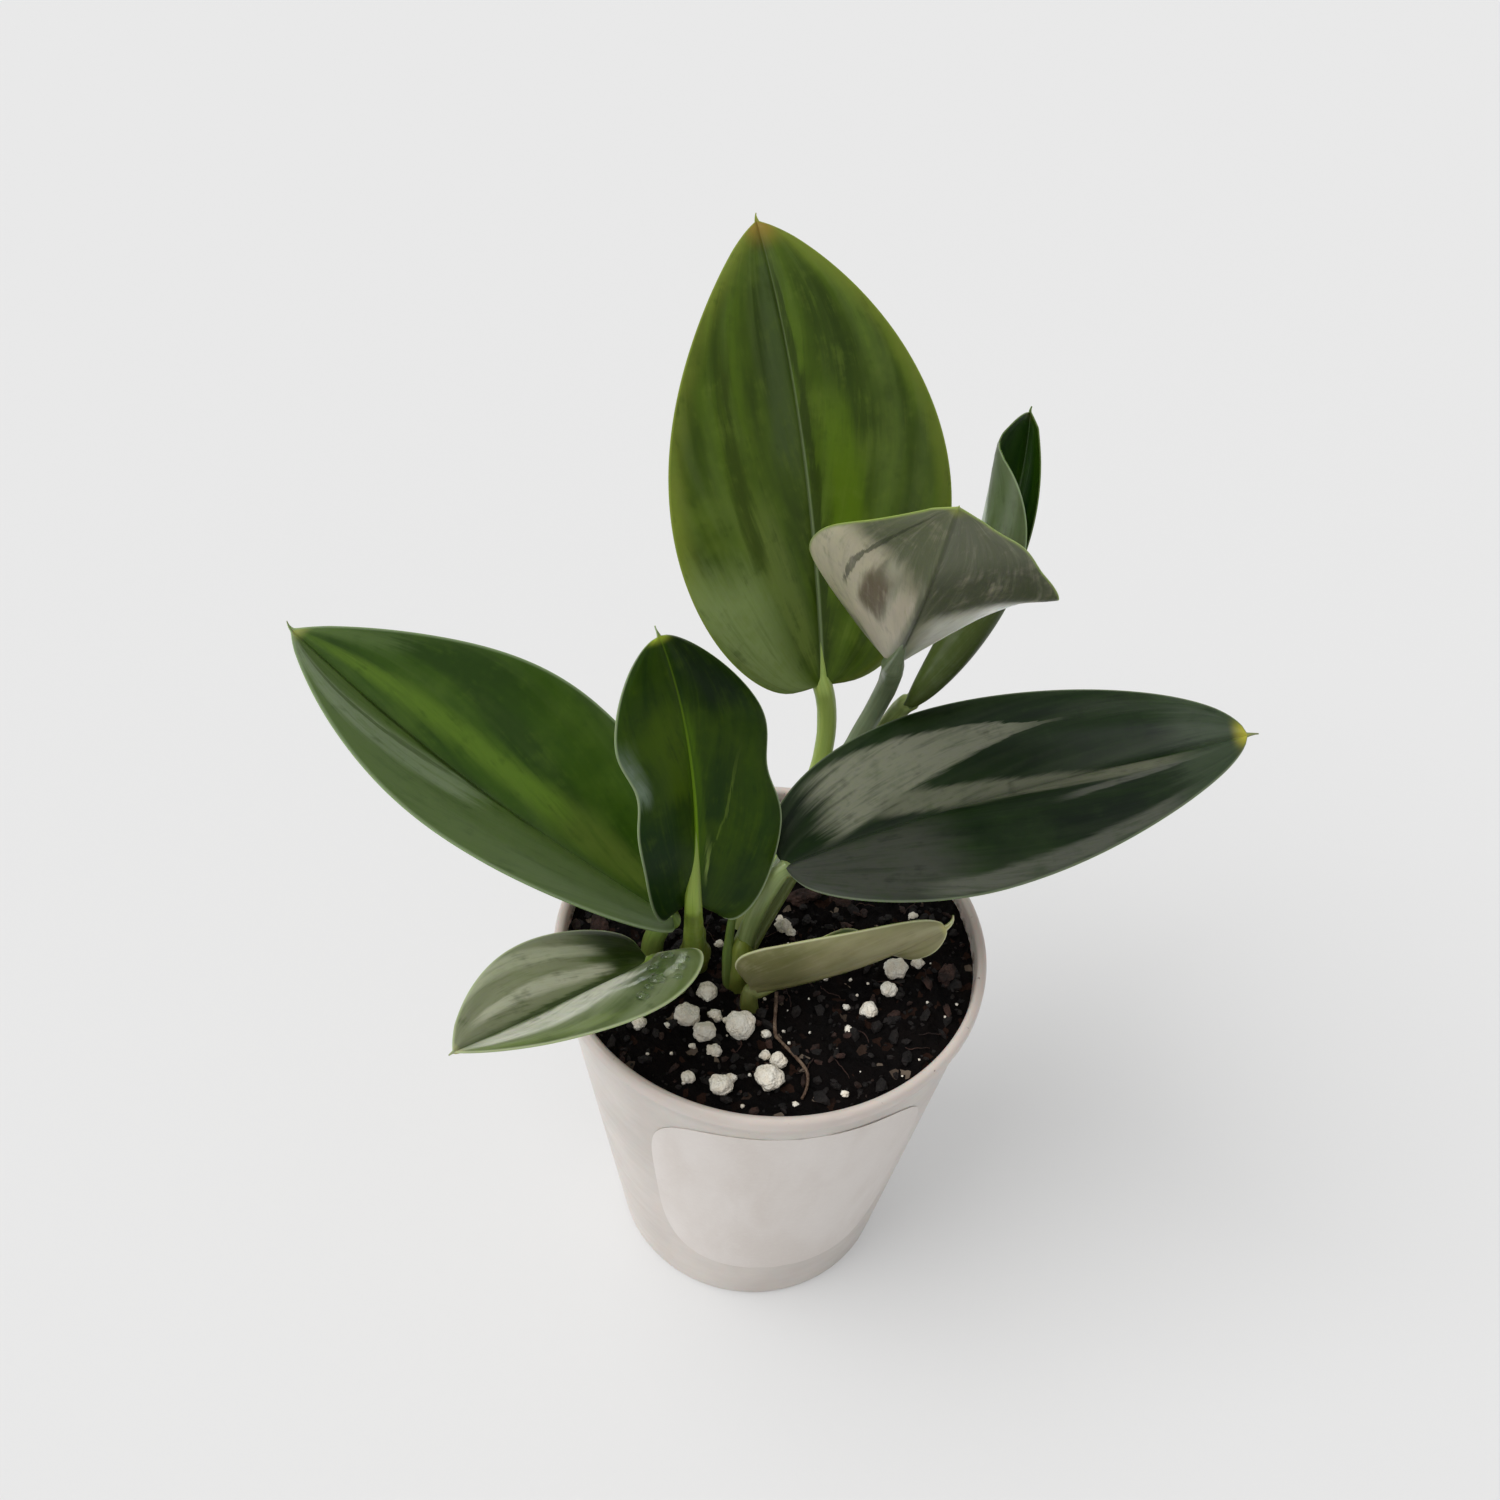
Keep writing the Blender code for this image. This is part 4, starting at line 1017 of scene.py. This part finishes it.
crumbMaterial = grainMaterial("crumbs", (0.10, 0.075, 0.068), (0.035, 0.027, 0.025), 500.0)
brownMaterial = grainMaterial("brownBits", (0.22, 0.145, 0.115), (0.10, 0.065, 0.055), 420.0)
perliteMaterial = grainMaterial("perliteGrain", (1.0, 0.985, 0.94), (0.98, 0.94, 0.87), 700.0, 0.9, 0.15)
barkMaterial = grainMaterial("barkChip", (0.26, 0.17, 0.14), (0.11, 0.07, 0.06), 500.0)

crumbs = {
    "count": 900, "seed": 11, "reach": 27.6, "least": 0.22, "spread": 0.75, "brown": 0.16,
    "shape": ((0.8, 1.6), (0.6, 1.0), (0.5, 0.9)),
}


def buildCrumbs():
    builder = bmesh.new()
    chance = random.Random(crumbs["seed"])
    for i in range(crumbs["count"]):
        x, y = somewhere(chance, crumbs["reach"])
        size = crumbs["least"] + crumbs["spread"] * chance.random() ** 3
        shape = [size * chance.uniform(*limits) for limits in crumbs["shape"]]
        tone = int(chance.random() < crumbs["brown"])
        layLump(builder, x, y, size * 0.15, shape, i * 0.37, 1, 0.5, chance.uniform(0, 3.1), tone)
    return pieceFromBmesh("soilCrumbs", builder, [crumbMaterial, brownMaterial], 35)


seat(buildCrumbs(), "soil")

# perlite: place and radius of each grain, in mm
perlite = (
    (-7.9, -9.0, 1.4), (-10.2, -13.2, 1.7), (-7.7, -15.6, 1.5), (-3.0, -14.6, 2.0),
    (1.5, -22.0, 1.8), (-4.7, -23.9, 1.5), (2.4, -19.0, 1.1), (17.4, -2.6, 1.6),
    (16.6, -6.2, 1.1), (14.0, -9.5, 1.2), (-6.1, -18.2, 1.0), (-16.3, -15.0, 1.0),
    (1.6, 3.6, 1.2), (-9.0, -22.4, 0.9),
)
for i, (x, y, radius) in enumerate(perlite):
    builder = bmesh.new()
    layLump(builder, x, y, radius * 0.55, (radius, radius * 0.95, radius * 0.85), i * 1.9 + 2, 4, 0.24)
    grain = pieceFromBmesh(f"perliteGrain{i + 1:02d}", builder, [perliteMaterial])
    seat(grain, "perlite", f"perlite_{i + 1:02d}")

# smaller grains, and dust between them
perliteCrumbs = (
    (-6.4, -12.6, 1.0), (0.5, -15.1, 0.7), (-3.5, -22.4, 0.75), (0.6, -18.4, 0.7), (20.6, -0.9, 0.9),
    (11.0, -8.9, 0.5), (11.4, -13.1, 0.6), (1.1, 5.0, 0.6), (2.7, 2.7, 0.7), (11.2, -23.2, 0.5),
    (-8.9, -3.2, 0.8), (-7.1, -0.3, 0.7), (-12.5, -15.0, 0.5), (-5.0, -13.4, 0.5), (-9.0, -17.6, 0.45),
    (22.4, 3.0, 0.5), (8.0, -4.5, 0.35), (-14.0, 9.0, 0.9), (-3.0, 14.0, 1.1), (8.0, 18.0, 0.8),
    (15.0, 13.0, 1.0), (-18.0, 4.0, 0.8), (-9.0, 17.0, 0.7), (20.0, 8.0, 0.7), (5.0, -25.0, 0.4),
)
perliteDust = {"count": 60, "seed": 5, "reach": 27, "radius": (0.12, 0.3)}


def buildPerliteCrumbs():
    builder = bmesh.new()
    for i, (x, y, radius) in enumerate(perliteCrumbs):
        layLump(builder, x, y, radius * 0.5, (radius, radius * 0.9, radius * 0.8), i * 2.3, 3, 0.4)
    chance = random.Random(perliteDust["seed"])
    for i in range(perliteDust["count"]):
        x, y = somewhere(chance, perliteDust["reach"])
        radius = chance.uniform(*perliteDust["radius"])
        layLump(builder, x, y, radius * 0.6, (radius, radius, radius), i * 1.1, 1, 0.4)
    return pieceFromBmesh("perliteCrumbs", builder, [perliteMaterial])


seat(buildPerliteCrumbs(), "perlite")

# bark: place, length, width and height in mm, heading in degrees
bark = (
    (3.8, 9.3, 4.2, 2.4, 1.2, 20), (9.2, 10.4, 3.6, 2.0, 1.0, -35),
    (24.6, -2.2, 3.4, 1.9, 1.1, 75), (-24.2, 1.0, 3.6, 2.0, 1.1, 100),
)
for i, (x, y, length, width, height, turn) in enumerate(bark):
    builder = bmesh.new()
    layLump(builder, x, y, height * 0.4, (length * 0.55, width * 0.55, height * 0.6), i * 3.1 + 1, 4, 0.55,
            math.radians(turn))
    seat(pieceFromBmesh(f"barkChip{i + 1:02d}", builder, [barkMaterial], 50), "bark", f"bark_{i + 1:02d}")

barkBits = {"count": 42, "seed": 23, "reach": 27, "size": (0.5, 1.3)}


def buildBarkBits():
    builder = bmesh.new()
    chance = random.Random(barkBits["seed"])
    for i in range(barkBits["count"]):
        x, y = somewhere(chance, barkBits["reach"])
        size = chance.uniform(*barkBits["size"])
        shape = (size, size * chance.uniform(0.3, 0.7), size * 0.35)
        layLump(builder, x, y, size * 0.25, shape, i * 1.3, 2, 0.5, chance.uniform(0, 3.1))
    return pieceFromBmesh("barkBits", builder, [barkMaterial], 40)


seat(buildBarkBits(), "bark")

root = {
    "line": ((1.4, -7.8), (1.5, -11.0), (1.7, -14.6), (2.9, -16.2), (5.9, -19.6), (6.4, -22.0), (5.8, -24.2)),
    "steps": 12, "lift": 0.35, "easings": 6, "radius": 0.27, "narrow": 0.0012,
}


def smoothLine(points, count):
    # Catmull-Rom through flat points
    found = []
    ends = [points[0]] + list(points) + [points[-1]]
    for i in range(len(points) - 1):
        a, b, c, d = (Vector((*ends[i + k], 0.0)) for k in range(4))
        for k in range(count):
            t = k / count
            found.append(0.5 * (2 * b + (c - a) * t + (2 * a - 5 * b + 4 * c - d) * t * t
                                + (3 * b - a - 3 * c + d) * t ** 3))
    found.append(Vector((*points[-1], 0.0)))
    return found


def buildRoot():
    line = smoothLine(root["line"], root["steps"])
    line = [Vector((x, y, soilHeight(x, y) + root["lift"])) for x, y, _ in line]
    for _ in range(root["easings"]):
        inner = [(line[i - 1] + line[i] * 2 + line[i + 1]) / 4 for i in range(1, len(line) - 1)]
        line = [line[0], *inner, line[-1]]
    radii = [root["radius"] - root["narrow"] * i for i in range(len(line))]
    points, faces, _ = sweep(line, radii, 10, rough=0.25)
    material = grainMaterial("rootSkin", (0.52, 0.44, 0.37), (0.34, 0.26, 0.21), 600.0, 0.7)
    return newPiece("surfaceRoot", points, faces, [material])


seat(buildRoot(), "root", "root")
fibres = {"count": 34, "seed": 41, "reach": 25, "edge": 27.3, "joints": 9, "stride": 0.45, "radius": 0.07}


def buildFibres():
    chance = random.Random(fibres["seed"])
    points, faces = [], []
    for _ in range(fibres["count"]):
        x, y = somewhere(chance, fibres["reach"])
        heading = chance.uniform(0, 2 * math.pi)
        path = []
        for k in range(fibres["joints"]):
            heading += chance.uniform(-0.5, 0.5)
            x, y = x + fibres["stride"] * math.cos(heading), y + fibres["stride"] * math.sin(heading)
            if math.hypot(x, y) > fibres["edge"]:
                break
            path.append(Vector((x, y, soilHeight(x, y) + 0.2 + 0.25 * math.sin(k / 8 * math.pi))))
        if len(path) < 4:
            continue
        more, moreFaces, _ = sweep(path, [fibres["radius"]] * len(path), 5)
        faces += [tuple(index + len(points) for index in face) for face in moreFaces]
        points += more
    return newPiece("soilFibres", points, faces, [barkMaterial])


seat(buildFibres(), "root")
print("soil built")


# water drops on the lower left leaf: along it, across it, radius in mm
drops = (
    (0.1, 0.55, 0.9), (0.2, 0.5, 0.8), (0.2, 0.78, 0.9), (0.3, 0.7, 1.1), (0.36, 0.72, 0.6),
    (0.42, 0.78, 0.8), (0.14, 0.8, 0.7), (0.26, 0.85, 0.6), (0.31, 0.56, 0.5),
)


def buildDrops(leaf):
    builder = bmesh.new()
    for s, side, radius in drops:
        # the midrib is summed up from the base, so the stations start there
        stations = np.linspace(0.0, s, 60)
        middle, _, _ = bladeSurface(leaf, stations, np.array([-side - 0.01, -side, -side + 0.01]))
        normal = Vector(surfaceNormals(middle)[-1, 1])
        centre = Vector(middle[-1, 1]) + normal * 0.2
        made = bmesh.ops.create_icosphere(builder, subdivisions=3, radius=1.0)
        spin = up.rotation_difference(normal).to_matrix()
        for vert in made["verts"]:
            z = vert.co.z * (0.75 if vert.co.z > 0 else 0.15)
            vert.co = (centre + spin @ Vector((vert.co.x * radius, vert.co.y * radius, z * radius))) * mm
    material, tree, shader = newMaterial("waterDrop", {
        "Transmission Weight": 1.0, "IOR": 1.33, "Metallic": 0.0})
    haze = noiseAt(tree, bodyPlace(tree), 500.0, 2.0)
    giveOut(tree, shader, {"Base Color": mixColour(tree, haze, tint(0.96, 0.98, 0.96), tint(0.9, 0.94, 0.9)),
                           "Roughness": step(tree, haze, 0.3, 0.7, 0.02, 0.05)})
    return pieceFromBmesh("waterDrops", builder, [material])


seat(buildDrops(blades["lower_left_leaf"]), "lower_left_leaf")


studio = {
    "floor": tint(0.91, 0.91, 0.905), "seenFloor": tint(0.72, 0.72, 0.72), "seenLift": 0.285,
    "floorReach": 6.0, "floorDepth": -0.0003, "backdrop": tint(0.919, 0.92, 0.919),
    "softSun": {"toward": (-0.50, -0.20, 0.84), "strength": 1.9, "angle": 45.0},
    "surround": 0.36, "sideGlow": 0.5, "glowToward": (-0.55, 0.0, 0.83),
}


def seenDirectly(tree):
    # 1 for what the camera sees, also by way of a drop or a gloss
    path = put(tree, "LightPath").outputs
    return calc(tree, "MAXIMUM", path["Is Camera Ray"],
                calc(tree, "MAXIMUM", path["Is Glossy Ray"], path["Is Transmission Ray"]))


def buildWorld():
    # plain soft surround, lighter overhead and towards one side
    world = bpy.data.worlds.new("studioWorld")
    world.use_nodes = True
    tree = world.node_tree
    toward = {0: put(tree, "TexCoord").outputs["Generated"], 1: studio["glowToward"]}
    lean = put(tree, "VectorMath", toward, operation="DOT_PRODUCT").outputs["Value"]
    level = plus(tree, step(tree, lean, 0.3, 1.0, 0.0, studio["sideGlow"]), studio["surround"])
    background = tree.nodes["Background"]
    seen = seenDirectly(tree)
    giveOut(tree, background, {"Color": mixColour(tree, seen, tint(1.0, 1.0, 1.0), studio["backdrop"]),
                               "Strength": step(tree, seen, 0.0, 1.0, level, 1.0)})
    bpy.context.scene.world = world


def buildStage():
    reach, low = studio["floorReach"], studio["floorDepth"]
    points = [(-reach, -reach, low), (reach, -reach, low), (reach, reach, low), (-reach, reach, low)]
    material, tree, shader = newMaterial("paleFloor", {"Roughness": 0.9, "Specular IOR Level": 0.1})
    seen = seenDirectly(tree)
    cloud = noiseAt(tree, bodyPlace(tree), 4.0, 2.0)
    colour = mixColour(tree, step(tree, cloud, 0.3, 0.7), studio["floor"], tint(0.90, 0.905, 0.905))
    # the camera sees the floor a little lifted, so its shadow stays as pale as in plain room light
    white = mixColour(tree, seen, tint(0.0, 0.0, 0.0), tint(1.0, 1.0, 1.0))
    giveOut(tree, shader, {"Base Color": mixColour(tree, seen, colour, studio["seenFloor"]),
                           "Emission Color": white})
    shader.inputs["Emission Strength"].default_value = studio["seenLift"]
    newPiece("floor", points, [(0, 1, 2, 3)], [material], smooth=None)
    light = bpy.data.objects.new("softSun", bpy.data.lights.new("softSun", "SUN"))
    light.data.energy = studio["softSun"]["strength"]
    light.data.angle = math.radians(studio["softSun"]["angle"])
    light.rotation_euler = Vector(studio["softSun"]["toward"]).to_track_quat("Z", "Y").to_euler()
    bpy.context.scene.collection.objects.link(light)


def buildCamera():
    camera = bpy.data.objects.new("camera", bpy.data.cameras.new("camera"))
    camera.data.lens = 35.0
    camera.data.sensor_width = 36.0
    camera.data.clip_start = 0.01
    camera.location = (0.0, -0.1307, 0.2185)
    camera.rotation_euler = (math.radians(46.97), math.radians(-2.77), math.radians(4.61))
    bpy.context.scene.collection.objects.link(camera)
    bpy.context.scene.camera = camera


buildWorld()
buildStage()
buildCamera()
bpy.context.scene.view_settings.view_transform = "Standard"
print("stage built")
